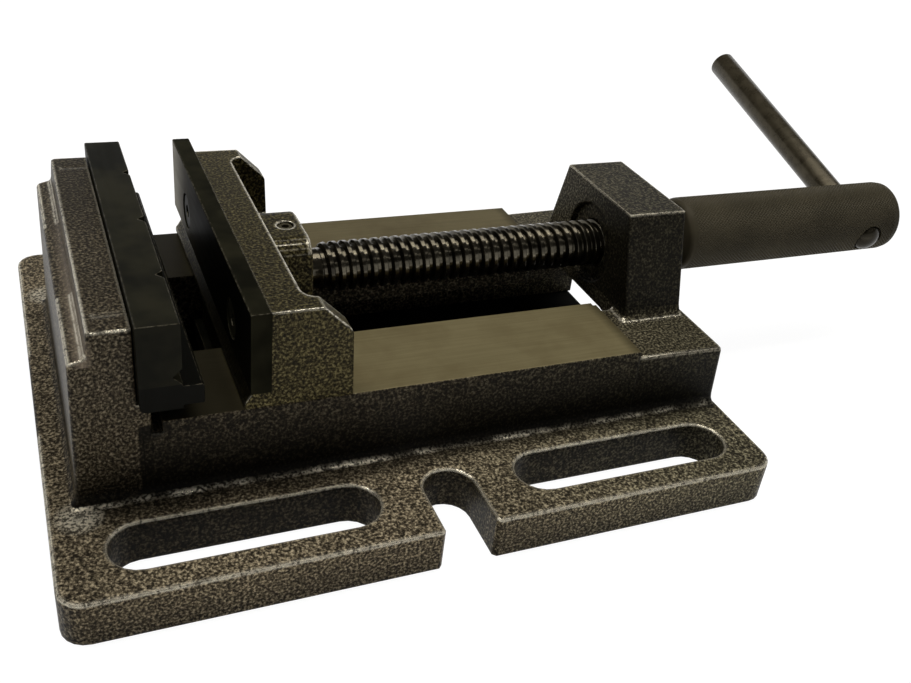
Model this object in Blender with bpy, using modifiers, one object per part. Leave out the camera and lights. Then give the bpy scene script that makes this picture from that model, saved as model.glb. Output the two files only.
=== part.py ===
"""Drill press vise with a prismatic fixed jaw, a keeper-guided sliding jaw and a knurled handle.

The vise stands on the XY plane with +Z up. X runs along the spindle from the fixed jaw to the
handle, and Y runs across the jaws. The origin lies on the underside, below the clamping face of
the fixed jaw plate. The sliding jaw is drawn at the opening that REST_OPENING gives.
"""
import math

import bmesh
import bpy
from mathutils import Matrix, Vector

MM = 0.001

# Clearances
SEAT_GAP = 0.3 * MM
RUNNING_GAP = 0.3 * MM
FILLET_SINK = 0.15 * MM

# Base flange
FLANGE_WIDTH = 154.6 * MM
FLANGE_THICKNESS = 11.5 * MM
FLANGE_BEHIND_JAW = 30.7 * MM
FLANGE_PAST_JAW = 150.1 * MM
FLANGE_CORNER = 6.0 * MM
CAST_EDGE = 1.0 * MM

# Clamping slots and notches in the flange
SLOT_WIDTH = 14.4 * MM
SLOT_LENGTH = 62.0 * MM
SLOT_EDGE_DISTANCE = 14.7 * MM
REAR_SLOT_MARGIN = 11.4 * MM
FRONT_SLOT_MARGIN = 8.7 * MM
SLOT_LIP = 0.7 * MM
NOTCH_WIDTH = 13.2 * MM
NOTCH_MOUTH_CHAMFER = 0.9 * MM

# Bed with its two ways
BED_WIDTH = 91.4 * MM
BED_DRAFT = 1.1 * MM
BED_WALL = 7.6 * MM
WAY_HEIGHT = 31.2 * MM
WAY_THICKNESS = 14.0 * MM
CHANNEL_WIDTH = 37.8 * MM
CHANNEL_START = 3.0 * MM
CHANNEL_CORNER = 2.5 * MM
WAY_EDGE = 0.3 * MM
DECK_LENGTH = 28.3 * MM
DECK_DROP = 2.2 * MM
DECK_TUCK = 0.3 * MM
DECK_OVERLAP = 6.0 * MM
DECK_CHANNEL_RELIEF = 1.3 * MM
DECK_FLARE = 0.7 * MM
DECK_SETBACK = 0.9 * MM
DECK_EDGE = 1.1 * MM
DECK_CORNER = 1.6 * MM
FOOT_FILLET = 2.6 * MM

# Fixed jaw casting
JAW_CASTING_WIDTH = 92.4 * MM
JAW_CASTING_TOP = 56.5 * MM
FIXED_BLOCK_THICKNESS = 9.0 * MM
FIXED_BLOCK_DRAFT = 0.4 * MM
FIXED_BLOCK_EDGE = 0.5 * MM
PLINTH_STEP = 4.4 * MM
PLINTH_TOP = 49.6 * MM
PLINTH_SLOPE = 0.3 * MM
PLINTH_EDGE = 1.0 * MM
PLINTH_FILLET = 1.8 * MM
PLINTH_DRAFT = 0.9 * MM
FIXED_FOOT_REACH = 3.1 * MM
RELIEF_WIDTH = 2.4 * MM
RELIEF_DEPTH = 3.0 * MM
CORE_WALL = 7.5 * MM
CORE_HEIGHT = 20.0 * MM

# Jaw plates
PLATE_LENGTH = 100.0 * MM
PLATE_TOP = 59.0 * MM
FIXED_PLATE_THICKNESS = 9.3 * MM
FIXED_PLATE_HEIGHT = 21.8 * MM
MOVING_PLATE_THICKNESS = 4.75 * MM
MOVING_PLATE_HEIGHT = 20.8 * MM
PLATE_EDGE = 0.4 * MM
PLATE_HEEL = 1.5 * MM
VEE_DEPTH = 2.1 * MM
UPRIGHT_VEE_DEPTH = 1.8 * MM
VEE_HEIGHT = 45.6 * MM
VEE_SPACING = 28.4 * MM
LEDGE_DEPTH = 4.6 * MM
LEDGE_HEIGHT = 5.0 * MM
LEDGE_RAISE = 0.9 * MM
LEDGE_CHAMFER = 0.5 * MM

# Screws that hold the plates
PLATE_SCREW_DIAMETER = 5.0 * MM
PLATE_SCREW_HEAD = 9.6 * MM
PLATE_SCREW_LENGTH = 16.0 * MM
MOVING_SCREW_LENGTH = 11.0 * MM
PLATE_SCREW_HEX = 3.5 * MM
PLATE_SCREW_HEX_DEPTH = 1.8 * MM
FIXED_SCREW_INSET = 10.8 * MM
FIXED_SCREW_DROP = 5.6 * MM
MOVING_SCREW_INSET = 20.7 * MM
MOVING_SCREW_DROP = 13.0 * MM

# Spindle bracket
BRACKET_START = 128.3 * MM
BRACKET_THICKNESS = 18.6 * MM
BRACKET_RISE = 17.4 * MM
BRACKET_TOP_WIDTH = 36.4 * MM
BRACKET_TAPER = 0.284
BRACKET_FILLET = 2.8 * MM
BRACKET_EDGE = 0.4 * MM
BRACKET_ARCH_HEIGHT = 25.4 * MM
COUNTERSINK_DIAMETER = 24.0 * MM
COUNTERSINK_DEPTH = 1.6 * MM

# Sliding jaw casting
REST_OPENING = 14.7 * MM
MOVING_CASTING_WIDTH = 92.2 * MM
WEB_THICKNESS = 9.2 * MM
EAR_THICKNESS = 5.2 * MM
EAR_LENGTH = 11.3 * MM
EAR_TOP_LENGTH = 3.4 * MM
EAR_SLOPE_DROP = 6.9 * MM
EAR_DRAFT = 0.8 * MM
EAR_ROUND = 3.0 * MM
POCKET_CORNER = 4.0 * MM
SOLE_THICKNESS = 6.5 * MM
SOLE_LIP = 0.6 * MM
SOLE_LIP_HEIGHT = 1.4 * MM
SEAT_SHELF = 3.4 * MM
BOSS_RISE = 13.5 * MM
BOSS_TOP_WIDTH = 22.2 * MM
BOSS_LENGTH = 10.8 * MM
BOSS_WALL = 7.4 * MM
BOSS_ROUND = 5.0 * MM
BOSS_END_ROUND = 1.2 * MM
TONGUE_SETBACK = 1.5 * MM
TONGUE_LENGTH = 20.0 * MM

# Keeper plate below the ways
KEEPER_LENGTH = 24.0 * MM
KEEPER_SIDE_CLEARANCE = 4.1 * MM
KEEPER_THICKNESS = 5.5 * MM
KEEPER_CORNER = 3.0 * MM
KEEPER_SCREW_DIAMETER = 6.0 * MM
KEEPER_SCREW_SPREAD = 22.0 * MM
KEEPER_SCREW_LENGTH = 16.0 * MM
KEEPER_HEAD_ACROSS_FLATS = 10.0 * MM
KEEPER_HEAD_THICKNESS = 4.0 * MM
KEEPER_WASHER_DIAMETER = 11.5 * MM
KEEPER_WASHER_THICKNESS = 1.5 * MM

# Spindle and what holds it in the sliding jaw
AXIS_HEIGHT = 40.8 * MM
THREAD_DIAMETER = 13.6 * MM
THREAD_CORE_DIAMETER = 10.9 * MM
THREAD_START_GAP = 3.3 * MM
THREAD_CHAMFER = 1.0 * MM
JOURNAL_DIAMETER = 10.0 * MM
JOURNAL_DEPTH = 13.5 * MM
GROOVE_DIAMETER = 7.0 * MM
THRUST_PAD_THICKNESS = 2.0 * MM
SET_SCREW_DIAMETER = 4.0 * MM
SET_SCREW_TIP = 2.8 * MM
SET_SCREW_TIP_LENGTH = 2.2 * MM
SET_SCREW_HEX = 2.0 * MM
SET_SCREW_HEX_DEPTH = 2.0 * MM
SET_SCREW_INSET = 4.7 * MM

# Handle
SHANK_DIAMETER = 12.0 * MM
SHANK_TO_BAR = 7.0 * MM
BARREL_DIAMETER = 22.5 * MM
BARREL_START = 158.0 * MM
BARREL_LENGTH = 84.2 * MM
BARREL_CHAMFER = 1.4 * MM
BAR_DIAMETER = 9.2 * MM
BAR_FROM_END = 12.0 * MM
BAR_LONG_REACH = 89.8 * MM
BAR_STUB = 1.6 * MM
BAR_STUB_DOME = 3.2 * MM
BAR_NOSE = 0.9 * MM
BAR_REST_ANGLE = math.radians(16.3)

# Fineness of round shapes
ARC_STEPS = 5
ROUND_SEGMENTS = 48
FASTENER_SEGMENTS = 24
EDGE_STEPS = 3
WELD_DISTANCE = 0.000005
OVERRUN = 1.0 * MM

# Places that several pieces share
FLANGE_HALF = FLANGE_WIDTH / 2
FLANGE_LOW_X = -FLANGE_BEHIND_JAW
FLANGE_HIGH_X = FLANGE_PAST_JAW
SLOT_LINE = FLANGE_HALF - SLOT_EDGE_DISTANCE
REAR_SLOT_CENTRE = FLANGE_LOW_X + REAR_SLOT_MARGIN + SLOT_LENGTH / 2
FRONT_SLOT_CENTRE = FLANGE_HIGH_X - FRONT_SLOT_MARGIN - SLOT_LENGTH / 2
NOTCH_CENTRE = (REAR_SLOT_CENTRE + FRONT_SLOT_CENTRE) / 2
BED_HALF = BED_WIDTH / 2
DECK_TOP = WAY_HEIGHT - DECK_DROP
CHANNEL_HALF = CHANNEL_WIDTH / 2
WAY_UNDERSIDE = WAY_HEIGHT - WAY_THICKNESS
RECESS_HALF = BED_HALF - BED_WALL
KEEPER_HALF = RECESS_HALF - KEEPER_SIDE_CLEARANCE
DECK_START = FLANGE_HIGH_X - DECK_LENGTH
BRACKET_TOP = AXIS_HEIGHT + BRACKET_RISE
BOSS_TOP = AXIS_HEIGHT + BOSS_RISE
FIXED_SCREW_SPREAD = PLATE_LENGTH - 2 * FIXED_SCREW_INSET
MOVING_SCREW_SPREAD = PLATE_LENGTH - 2 * MOVING_SCREW_INSET
FIXED_SEAT = -FIXED_PLATE_THICKNESS - SEAT_GAP
FIXED_BLOCK_BACK = FIXED_SEAT - FIXED_BLOCK_THICKNESS
PLINTH_BACK = FIXED_BLOCK_BACK - PLINTH_STEP
FIXED_FOOT = FIXED_SEAT + FIXED_FOOT_REACH
FIXED_PLATE_BOTTOM = PLATE_TOP - FIXED_PLATE_HEIGHT
MOVING_PLATE_BOTTOM = PLATE_TOP - MOVING_PLATE_HEIGHT
MOVING_SEAT = REST_OPENING + MOVING_PLATE_THICKNESS + SEAT_GAP
WEB_BACK = MOVING_SEAT + WEB_THICKNESS
JAW_BACK = WEB_BACK + EAR_LENGTH
SOLE_BOTTOM = WAY_HEIGHT + RUNNING_GAP
SOLE_TOP = SOLE_BOTTOM + SOLE_THICKNESS
POCKET_HALF = MOVING_CASTING_WIDTH / 2 - EAR_THICKNESS
TONGUE_FRONT = REST_OPENING + TONGUE_SETBACK
TONGUE_CENTRE = TONGUE_FRONT + TONGUE_LENGTH / 2
TONGUE_HALF = CHANNEL_HALF - RUNNING_GAP
KEEPER_TOP = WAY_UNDERSIDE - RUNNING_GAP
KEEPER_BOTTOM = KEEPER_TOP - KEEPER_THICKNESS
BOSS_END = WEB_BACK + BOSS_LENGTH
BRACKET_END = BRACKET_START + BRACKET_THICKNESS
JOURNAL_TIP = BOSS_END - JOURNAL_DEPTH
JOURNAL_BORE_RADIUS = JOURNAL_DIAMETER / 2 + SEAT_GAP
BOSS_HALF = JOURNAL_BORE_RADIUS + BOSS_WALL
BORE_FLOOR = JOURNAL_TIP - THRUST_PAD_THICKNESS - 2 * SEAT_GAP
THREAD_START = BOSS_END + THREAD_START_GAP
SET_SCREW_X = BOSS_END - SET_SCREW_INSET
GROOVE_LOW = SET_SCREW_X - SET_SCREW_TIP / 2 - RUNNING_GAP
GROOVE_HIGH = SET_SCREW_X + SET_SCREW_TIP / 2 + RUNNING_GAP
BARREL_END = BARREL_START + BARREL_LENGTH
BAR_CENTRE = Vector((BARREL_END - BAR_FROM_END, 0, AXIS_HEIGHT))
SHANK_END = BAR_CENTRE.x - BAR_DIAMETER / 2 - SHANK_TO_BAR
BAR_DIRECTION = Vector((0, math.cos(BAR_REST_ANGLE), math.sin(BAR_REST_ANGLE)))
ALONG_X = Vector((1, 0, 0))
UP = Vector((0, 0, 1))

# Finishes: name, colour, roughness, metallic
PAINT = ("hammertone_paint", (0.115, 0.105, 0.09), 0.45, 0.35)
BLACK_OXIDE = ("black_oxide", (0.035, 0.035, 0.03), 0.4, 0.8)
SPINDLE_STEEL = ("oiled_steel", (0.09, 0.085, 0.08), 0.3, 1.0)
HANDLE_STEEL = ("blackened_steel", (0.07, 0.068, 0.06), 0.42, 0.9)
BAR_STEEL = ("bright_steel", (0.28, 0.26, 0.23), 0.25, 1.0)
ZINC = ("zinc_plate", (0.45, 0.44, 0.42), 0.35, 1.0)


def clear_scene():
    for thing in list(bpy.data.objects):
        bpy.data.objects.remove(thing, do_unlink=True)


def new_collection(name):
    collection = bpy.data.collections.new(name)
    bpy.context.scene.collection.children.link(collection)
    return collection


def new_object(name, mesh, collection):
    thing = bpy.data.objects.new(name, mesh)
    collection.objects.link(thing)
    if collection == CUTTERS:
        thing.hide_render = True
        thing.display_type = "WIRE"
    return thing


def dress(thing, finish):
    """Gives a piece its own Principled material and smooth round faces."""
    label, colour, roughness, metallic = finish
    material = bpy.data.materials.new(thing.name + "_" + label)
    material.use_nodes = True
    shader = material.node_tree.nodes["Principled BSDF"]
    shader.inputs["Base Color"].default_value = (*colour, 1)
    shader.inputs["Roughness"].default_value = roughness
    shader.inputs["Metallic"].default_value = metallic
    thing.data.materials.append(material)
    thing.data.shade_smooth()
    thing.data.set_sharp_from_angle(angle=math.radians(35))
    return thing


def rounded_outline(corners):
    """Closed outline through (u, v, radius) corners, each turned into an arc of its radius."""
    points = []
    for index, (u, v, radius) in enumerate(corners):
        corner = Vector((u, v))
        back = Vector(corners[index - 1][:2]) - corner
        ahead = Vector(corners[(index + 1) % len(corners)][:2]) - corner
        if radius <= 0:
            points.append(corner)
            continue
        half_angle = back.angle(ahead) / 2
        reach = min(radius / math.tan(half_angle), back.length / 2, ahead.length / 2)
        inward = (back.normalized() + ahead.normalized()).normalized()
        centre = corner + inward * reach / math.cos(half_angle)
        start = corner + back.normalized() * reach - centre
        end = corner + ahead.normalized() * reach - centre
        turn = math.atan2(start.x * end.y - start.y * end.x, start.dot(end))
        for step in range(ARC_STEPS + 1):
            points.append(centre + Matrix.Rotation(turn * step / ARC_STEPS, 2) @ start)
    return points


def rectangle(low_u, high_u, low_v, high_v, radius=0.0):
    return [(low_u, low_v, radius), (high_u, low_v, radius),
            (high_u, high_v, radius), (low_u, high_v, radius)]


def quarter_round(radius):
    """Inset and rise pairs of a rounded edge, from its lower end up."""
    angles = [math.pi / 2 * step / EDGE_STEPS for step in range(EDGE_STEPS + 1)]
    return [(radius * (1 - math.cos(angle)), radius * math.sin(angle)) for angle in angles]


def foot_fillet(radius):
    """Reach and rise pairs of a concave fillet, from the surface that it stands on up."""
    angles = [math.pi / 2 * step / EDGE_STEPS for step in range(EDGE_STEPS + 1)]
    return [(radius * (1 - math.sin(angle)), radius * (1 - math.cos(angle))) for angle in angles]


def stand_along(axis, shift=0.0):
    """Matrix from (u, v, along) to the world: X takes (y, z, x), Y takes (x, z, y), Z (x, y, z)."""
    return {
        "X": Matrix(((0, 0, 1, shift), (1, 0, 0, 0), (0, 1, 0, 0), (0, 0, 0, 1))),
        "Y": Matrix(((1, 0, 0, 0), (0, 0, -1, shift), (0, 1, 0, 0), (0, 0, 0, 1))),
        "Z": Matrix.Translation((0, 0, shift)),
    }[axis]


def finish_mesh(work, mesh, matrix):
    bmesh.ops.remove_doubles(work, verts=work.verts, dist=WELD_DISTANCE)
    bmesh.ops.transform(work, matrix=matrix, verts=work.verts)
    bmesh.ops.recalc_face_normals(work, faces=work.faces)
    work.to_mesh(mesh)
    work.free()


def prism(name, corners, axis, low, high, collection):
    """Flat outline extruded from low to high along an axis."""
    curve = bpy.data.curves.new(name, "CURVE")
    curve.dimensions = "2D"
    curve.fill_mode = "BOTH"
    curve.extrude = (high - low) / 2
    outline = rounded_outline(corners)
    spline = curve.splines.new("POLY")
    spline.points.add(len(outline) - 1)
    spline.use_cyclic_u = True
    for point, place in zip(spline.points, outline):
        point.co = (place.x, place.y, 0, 1)
    carrier = bpy.data.objects.new(name + "_outline", curve)
    bpy.context.scene.collection.objects.link(carrier)
    view = bpy.context.evaluated_depsgraph_get()
    mesh = bpy.data.meshes.new_from_object(carrier.evaluated_get(view))
    bpy.data.objects.remove(carrier, do_unlink=True)
    work = bmesh.new()
    work.from_mesh(mesh)
    finish_mesh(work, mesh, stand_along(axis, (low + high) / 2))
    return new_object(name, mesh, collection)


def loft(name, sections, collection, axis="Z"):
    """Solid through flat outlines; each section is its place on the axis and its corners."""
    work = bmesh.new()
    rings = []
    for along, corners in sections:
        rings.append([work.verts.new((p.x, p.y, along)) for p in rounded_outline(corners)])
    for lower, upper in zip(rings, rings[1:]):
        for index in range(len(lower)):
            after = (index + 1) % len(lower)
            work.faces.new((lower[index], lower[after], upper[after], upper[index]))
    work.faces.new(rings[0])
    work.faces.new(rings[-1])
    mesh = bpy.data.meshes.new(name)
    turn = stand_along(axis)
    if axis == "Y":
        turn = turn @ Matrix.Diagonal((1, 1, -1, 1))
    finish_mesh(work, mesh, turn)
    return new_object(name, mesh, collection)


def rod(name, start, end, radius, collection, end_radius=None, segments=ROUND_SEGMENTS):
    """Cylinder, cone or, with six segments, hexagon bar from start to end."""
    run = Vector(end) - Vector(start)
    work = bmesh.new()
    bmesh.ops.create_cone(work, cap_ends=True, segments=segments, radius1=radius,
                          radius2=radius if end_radius is None else end_radius, depth=run.length)
    turn = run.to_track_quat("Z", "Y").to_matrix().to_4x4()
    mesh = bpy.data.meshes.new(name)
    finish_mesh(work, mesh, Matrix.Translation((Vector(start) + Vector(end)) / 2) @ turn)
    return new_object(name, mesh, collection)


def turned(name, profile, start, direction, collection, segments=ROUND_SEGMENTS):
    """Solid of revolution; the profile is (distance from start, radius), from the far end back."""
    work = bmesh.new()
    verts = [work.verts.new((radius, 0, along)) for along, radius in profile]
    for first, second in zip(verts, verts[1:]):
        work.edges.new((first, second))
    mesh = bpy.data.meshes.new(name)
    work.to_mesh(mesh)
    work.free()
    thing = new_object(name, mesh, collection)
    thing.location = start
    thing.rotation_euler = direction.to_track_quat("Z", "Y").to_euler()
    spin = thing.modifiers.new("turned", "SCREW")
    spin.axis = "Z"
    spin.steps = segments
    spin.render_steps = segments
    spin.use_merge_vertices = True
    spin.merge_threshold = WELD_DISTANCE
    spin.use_smooth_shade = True
    return thing


def combine(target, others, operation):
    for other in others:
        change = target.modifiers.new(other.name, "BOOLEAN")
        change.operation = operation
        change.solver = "EXACT"
        change.object = other


def cut(target, *others):
    combine(target, others, "DIFFERENCE")


def join(target, *others):
    combine(target, others, "UNION")


def soften(thing, width, segments=2):
    """Small bevel on the sharp edges of a piece."""
    edge = thing.modifiers.new("soft_edges", "BEVEL")
    edge.width = width
    edge.segments = segments
    edge.limit_method = "ANGLE"
    edge.angle_limit = math.radians(50)


def flange():
    def plan(inset):
        return rectangle(FLANGE_LOW_X + inset, FLANGE_HIGH_X - inset,
                         -FLANGE_HALF + inset, FLANGE_HALF - inset, FLANGE_CORNER - inset)
    shoulder = FLANGE_THICKNESS - CAST_EDGE
    sections = [(0, plan(0))]
    sections += [(shoulder + rise, plan(inset)) for inset, rise in quarter_round(CAST_EDGE)]
    return loft("base_casting", sections, PARTS)


def drafted_block(name, plan, top, edge):
    """Casting block with drafted sides, a fillet at the flange and a rounded upper edge."""
    foot = FLANGE_THICKNESS - FILLET_SINK
    sections = [(FLANGE_THICKNESS / 2, plan(BED_DRAFT + FOOT_FILLET))]
    sections += [(foot + rise, plan(BED_DRAFT + reach)) for reach, rise in foot_fillet(FOOT_FILLET)]
    sections += [(top - edge + rise, plan(0, inset)) for inset, rise in quarter_round(edge)]
    return loft(name, sections, CUTTERS)


def bed():
    """Block that carries the two ground ways."""
    def plan(spread, inset=0.0):
        side = BED_HALF + spread - inset
        return rectangle(FIXED_FOOT - CORE_WALL, DECK_START, -side, side)
    return drafted_block("bed_block", plan, WAY_HEIGHT, WAY_EDGE)


def deck():
    """Lower cast end of the bed, which the spindle bracket stands on."""
    def plan(spread, inset=0.0):
        side = BED_HALF + spread - inset - DECK_TUCK
        end = FLANGE_HIGH_X - DECK_SETBACK - inset
        flared = side + DECK_TUCK + DECK_FLARE
        inside = DECK_START - DECK_OVERLAP
        return [(inside, -side, 0), (DECK_START, -side, 0), (end, -flared, DECK_CORNER),
                (end, flared, DECK_CORNER), (DECK_START, side, 0), (inside, side, 0)]
    return drafted_block("deck_block", plan, DECK_TOP, DECK_EDGE)


def fixed_jaw():
    """Jaw block with a thicker plinth behind it; its seat is cut back for the plate."""
    half = JAW_CASTING_WIDTH / 2

    def plan(back, spread=0.0, corner=PLINTH_EDGE):
        return rectangle(back - spread, FIXED_FOOT, -half - spread, half + spread, corner)
    foot = FLANGE_THICKNESS - FILLET_SINK
    foot_back = PLINTH_BACK - PLINTH_DRAFT
    sections = [(FLANGE_THICKNESS / 2, plan(foot_back, FOOT_FILLET))]
    sections += [(foot + rise, plan(foot_back, reach)) for reach, rise in foot_fillet(FOOT_FILLET)]
    sections += [(PLINTH_TOP - PLINTH_EDGE + rise, plan(PLINTH_BACK + inset))
                 for inset, rise in quarter_round(PLINTH_EDGE)]
    block_back = FIXED_BLOCK_BACK - FIXED_BLOCK_DRAFT
    sections += [(PLINTH_TOP + PLINTH_SLOPE + rise, plan(block_back - reach))
                 for reach, rise in foot_fillet(PLINTH_FILLET)]
    sections += [(JAW_CASTING_TOP - FIXED_BLOCK_EDGE + rise, plan(FIXED_BLOCK_BACK, -inset))
                 for inset, rise in quarter_round(FIXED_BLOCK_EDGE)]
    block = loft("fixed_jaw_block", sections, CUTTERS)
    seat = prism("plate_seat_cutter",
                 rectangle(FIXED_SEAT, FIXED_FOOT + OVERRUN,
                           FIXED_PLATE_BOTTOM - SEAT_GAP, JAW_CASTING_TOP + OVERRUN),
                 "Y", -half - OVERRUN, half + OVERRUN, CUTTERS)
    cut(block, seat)
    return block


def bracket():
    """Tapered block over the channel that holds the spindle's thread."""
    def plan(height, spread=0.0, inset=0.0):
        half = BRACKET_TOP_WIDTH / 2 + (BRACKET_TOP - height) * BRACKET_TAPER + spread - inset
        return rectangle(BRACKET_START - spread + inset, BRACKET_END - inset, -half, half, BRACKET_EDGE)
    foot = DECK_TOP - FILLET_SINK
    sections = [(BRACKET_ARCH_HEIGHT, plan(foot, BRACKET_FILLET))]
    sections += [(foot + rise, plan(foot + rise, reach)) for reach, rise in foot_fillet(BRACKET_FILLET)]
    shoulder = BRACKET_TOP - BRACKET_EDGE
    sections += [(shoulder + rise, plan(shoulder + rise, 0.0, inset))
                 for inset, rise in quarter_round(BRACKET_EDGE)]
    return loft("bracket_block", sections, CUTTERS)


def slot_cutter(name, centre_x, line_y):
    """Long hole with a rounded upper lip."""
    def plan(grow):
        half_length = SLOT_LENGTH / 2 + grow
        half_width = SLOT_WIDTH / 2 + grow
        return rectangle(centre_x - half_length, centre_x + half_length,
                         line_y - half_width, line_y + half_width, half_width * 0.999)
    return loft(name, lipped(plan), CUTTERS)


def notch_cutter(name, line_y, outward):
    """Slot that is open at the flange's edge, with a chamfered mouth."""
    def plan(grow):
        half = NOTCH_WIDTH / 2 + grow
        edge = outward * (FLANGE_HALF - NOTCH_MOUTH_CHAMFER)
        beyond = outward * (FLANGE_HALF + OVERRUN)
        mouth = half + NOTCH_MOUTH_CHAMFER + OVERRUN
        inner = line_y - outward * half
        return [(NOTCH_CENTRE - half, inner, half * 0.999), (NOTCH_CENTRE + half, inner, half * 0.999),
                (NOTCH_CENTRE + half, edge, 0), (NOTCH_CENTRE + mouth, beyond, 0),
                (NOTCH_CENTRE - mouth, beyond, 0), (NOTCH_CENTRE - half, edge, 0)]
    return loft(name, lipped(plan), CUTTERS)


def lipped(plan):
    """Sections of a cutter through the flange that rounds the upper edge of its hole."""
    sections = [(-OVERRUN, plan(0)), (FLANGE_THICKNESS - SLOT_LIP, plan(0))]
    for inset, rise in quarter_round(SLOT_LIP)[1:]:
        sections.append((FLANGE_THICKNESS - SLOT_LIP + rise, plan(inset)))
    sections.append((FLANGE_THICKNESS + OVERRUN, plan(SLOT_LIP)))
    return sections


def bed_hollows():
    """Cutters for the channel between the ways, the keeper's recess, the arch and the core."""
    deep = -OVERRUN
    wide = CHANNEL_HALF + DECK_CHANNEL_RELIEF
    bed_end = FLANGE_HIGH_X + OVERRUN
    channel = prism("channel_cutter",
                    [(CHANNEL_START, -CHANNEL_HALF, CHANNEL_CORNER), (DECK_START, -CHANNEL_HALF, 0),
                     (DECK_START, CHANNEL_HALF, 0), (CHANNEL_START, CHANNEL_HALF, CHANNEL_CORNER)],
                    "Z", deep, WAY_HEIGHT + OVERRUN, CUTTERS)
    relief = prism("deck_channel_cutter", rectangle(DECK_START - OVERRUN, BRACKET_START, -wide, wide),
                   "Z", deep, BRACKET_TOP + OVERRUN, CUTTERS)
    arch = prism("arch_cutter",
                 [(-wide, deep, 0), (wide, deep, 0), (wide, BRACKET_ARCH_HEIGHT, 3 * CHANNEL_CORNER),
                  (-wide, BRACKET_ARCH_HEIGHT, 3 * CHANNEL_CORNER)],
                 "X", BRACKET_START - BRACKET_FILLET - OVERRUN, bed_end, CUTTERS)
    recess = prism("keeper_recess_cutter",
                   [(-RECESS_HALF, deep, 0), (RECESS_HALF, deep, 0),
                    (RECESS_HALF, WAY_UNDERSIDE, CAST_EDGE), (-RECESS_HALF, WAY_UNDERSIDE, CAST_EDGE)],
                   "X", CHANNEL_START, bed_end, CUTTERS)
    core = prism("core_cutter",
                 rectangle(PLINTH_BACK + CORE_WALL, CHANNEL_START - CORE_WALL,
                           -RECESS_HALF, RECESS_HALF, CHANNEL_CORNER),
                 "Z", deep, CORE_HEIGHT, CUTTERS)
    return channel, relief, arch, recess, core


def foot_relief_cutter():
    """Groove across the ways at the foot of the fixed jaw, which lets the grinding run out."""
    side = BED_HALF + FOOT_FILLET
    return prism("foot_relief_cutter",
                 rectangle(FIXED_FOOT - 2 * OVERRUN, FIXED_FOOT + RELIEF_WIDTH, -side, side),
                 "Z", WAY_HEIGHT - RELIEF_DEPTH, WAY_HEIGHT + OVERRUN, CUTTERS)


def base_casting():
    """One iron casting: flange, bed, fixed jaw block and spindle bracket."""
    casting = flange()
    join(casting, bed(), deck())
    cut(casting, foot_relief_cutter())
    join(casting, fixed_jaw(), bracket())
    for side, outward in (("near", -1), ("far", 1)):
        line = outward * SLOT_LINE
        cut(casting, slot_cutter("rear_slot_" + side, REAR_SLOT_CENTRE, line),
            slot_cutter("front_slot_" + side, FRONT_SLOT_CENTRE, line),
            notch_cutter("notch_" + side, line, outward))
    cut(casting, *bed_hollows())
    axis_at_bracket = Vector((BRACKET_START, 0, AXIS_HEIGHT))
    bore = rod("spindle_bore", axis_at_bracket - ALONG_X * OVERRUN,
               axis_at_bracket + ALONG_X * (BRACKET_THICKNESS + OVERRUN),
               THREAD_DIAMETER / 2 + RUNNING_GAP, CUTTERS)
    lip = COUNTERSINK_DEPTH / 4
    countersink = rod("bracket_countersink", axis_at_bracket - ALONG_X * OVERRUN,
                      axis_at_bracket + ALONG_X * COUNTERSINK_DEPTH,
                      COUNTERSINK_DIAMETER / 2 + lip, CUTTERS,
                      end_radius=COUNTERSINK_DIAMETER / 2 - lip)
    cut(casting, bore, countersink)
    for side, y in screw_places(FIXED_SCREW_SPREAD):
        cut(casting, plate_screw_hole("fixed_plate_hole_" + side, FIXED_SEAT + OVERRUN, y,
                                      PLATE_TOP - FIXED_SCREW_DROP, -1,
                                      PLATE_SCREW_LENGTH - FIXED_PLATE_THICKNESS + OVERRUN))
    return dress(casting, PAINT)


def screw_places(spread):
    return (("near", -spread / 2), ("far", spread / 2))


def plate_screw_hole(name, start_x, y, z, way, length):
    """Plain hole for a plate screw, from start_x along X in the direction that way gives."""
    start = Vector((start_x, y, z))
    return rod(name, start, start + ALONG_X * way * (length + SEAT_GAP),
               PLATE_SCREW_DIAMETER / 2 + SEAT_GAP, CUTTERS, segments=FASTENER_SEGMENTS)


def plate_screw(name, face_x, y, z, way, length):
    """Countersunk screw with a hexagon socket, its head level with the plate's face."""
    start = Vector((face_x, y, z))
    shank = PLATE_SCREW_DIAMETER / 2
    head = PLATE_SCREW_HEAD / 2
    profile = [(length, 0), (length, shank - SEAT_GAP), (length - SEAT_GAP, shank),
               (head - shank, shank), (SEAT_GAP, head - SEAT_GAP), (SEAT_GAP, 0)]
    screw = turned(name, profile, start, ALONG_X * way, PARTS, FASTENER_SEGMENTS)
    socket = rod(name + "_socket", start - ALONG_X * way * OVERRUN,
                 start + ALONG_X * way * PLATE_SCREW_HEX_DEPTH,
                 PLATE_SCREW_HEX / math.sqrt(3), CUTTERS, segments=6)
    cut(screw, socket)
    return dress(screw, BLACK_OXIDE)


def sunk_hole(name, face_x, y, z, way, depth):
    """Cutter through a jaw plate for the screw's head and shank."""
    head = PLATE_SCREW_HEAD / 2 + SEAT_GAP
    shank = PLATE_SCREW_DIAMETER / 2 + SEAT_GAP
    profile = [(depth + 2 * OVERRUN, 0), (depth + 2 * OVERRUN, shank),
               (OVERRUN + head - shank, shank), (0, head + OVERRUN), (0, 0)]
    start = Vector((face_x - way * OVERRUN, y, z))
    return turned(name, profile, start, ALONG_X * way, CUTTERS, FASTENER_SEGMENTS)


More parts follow.
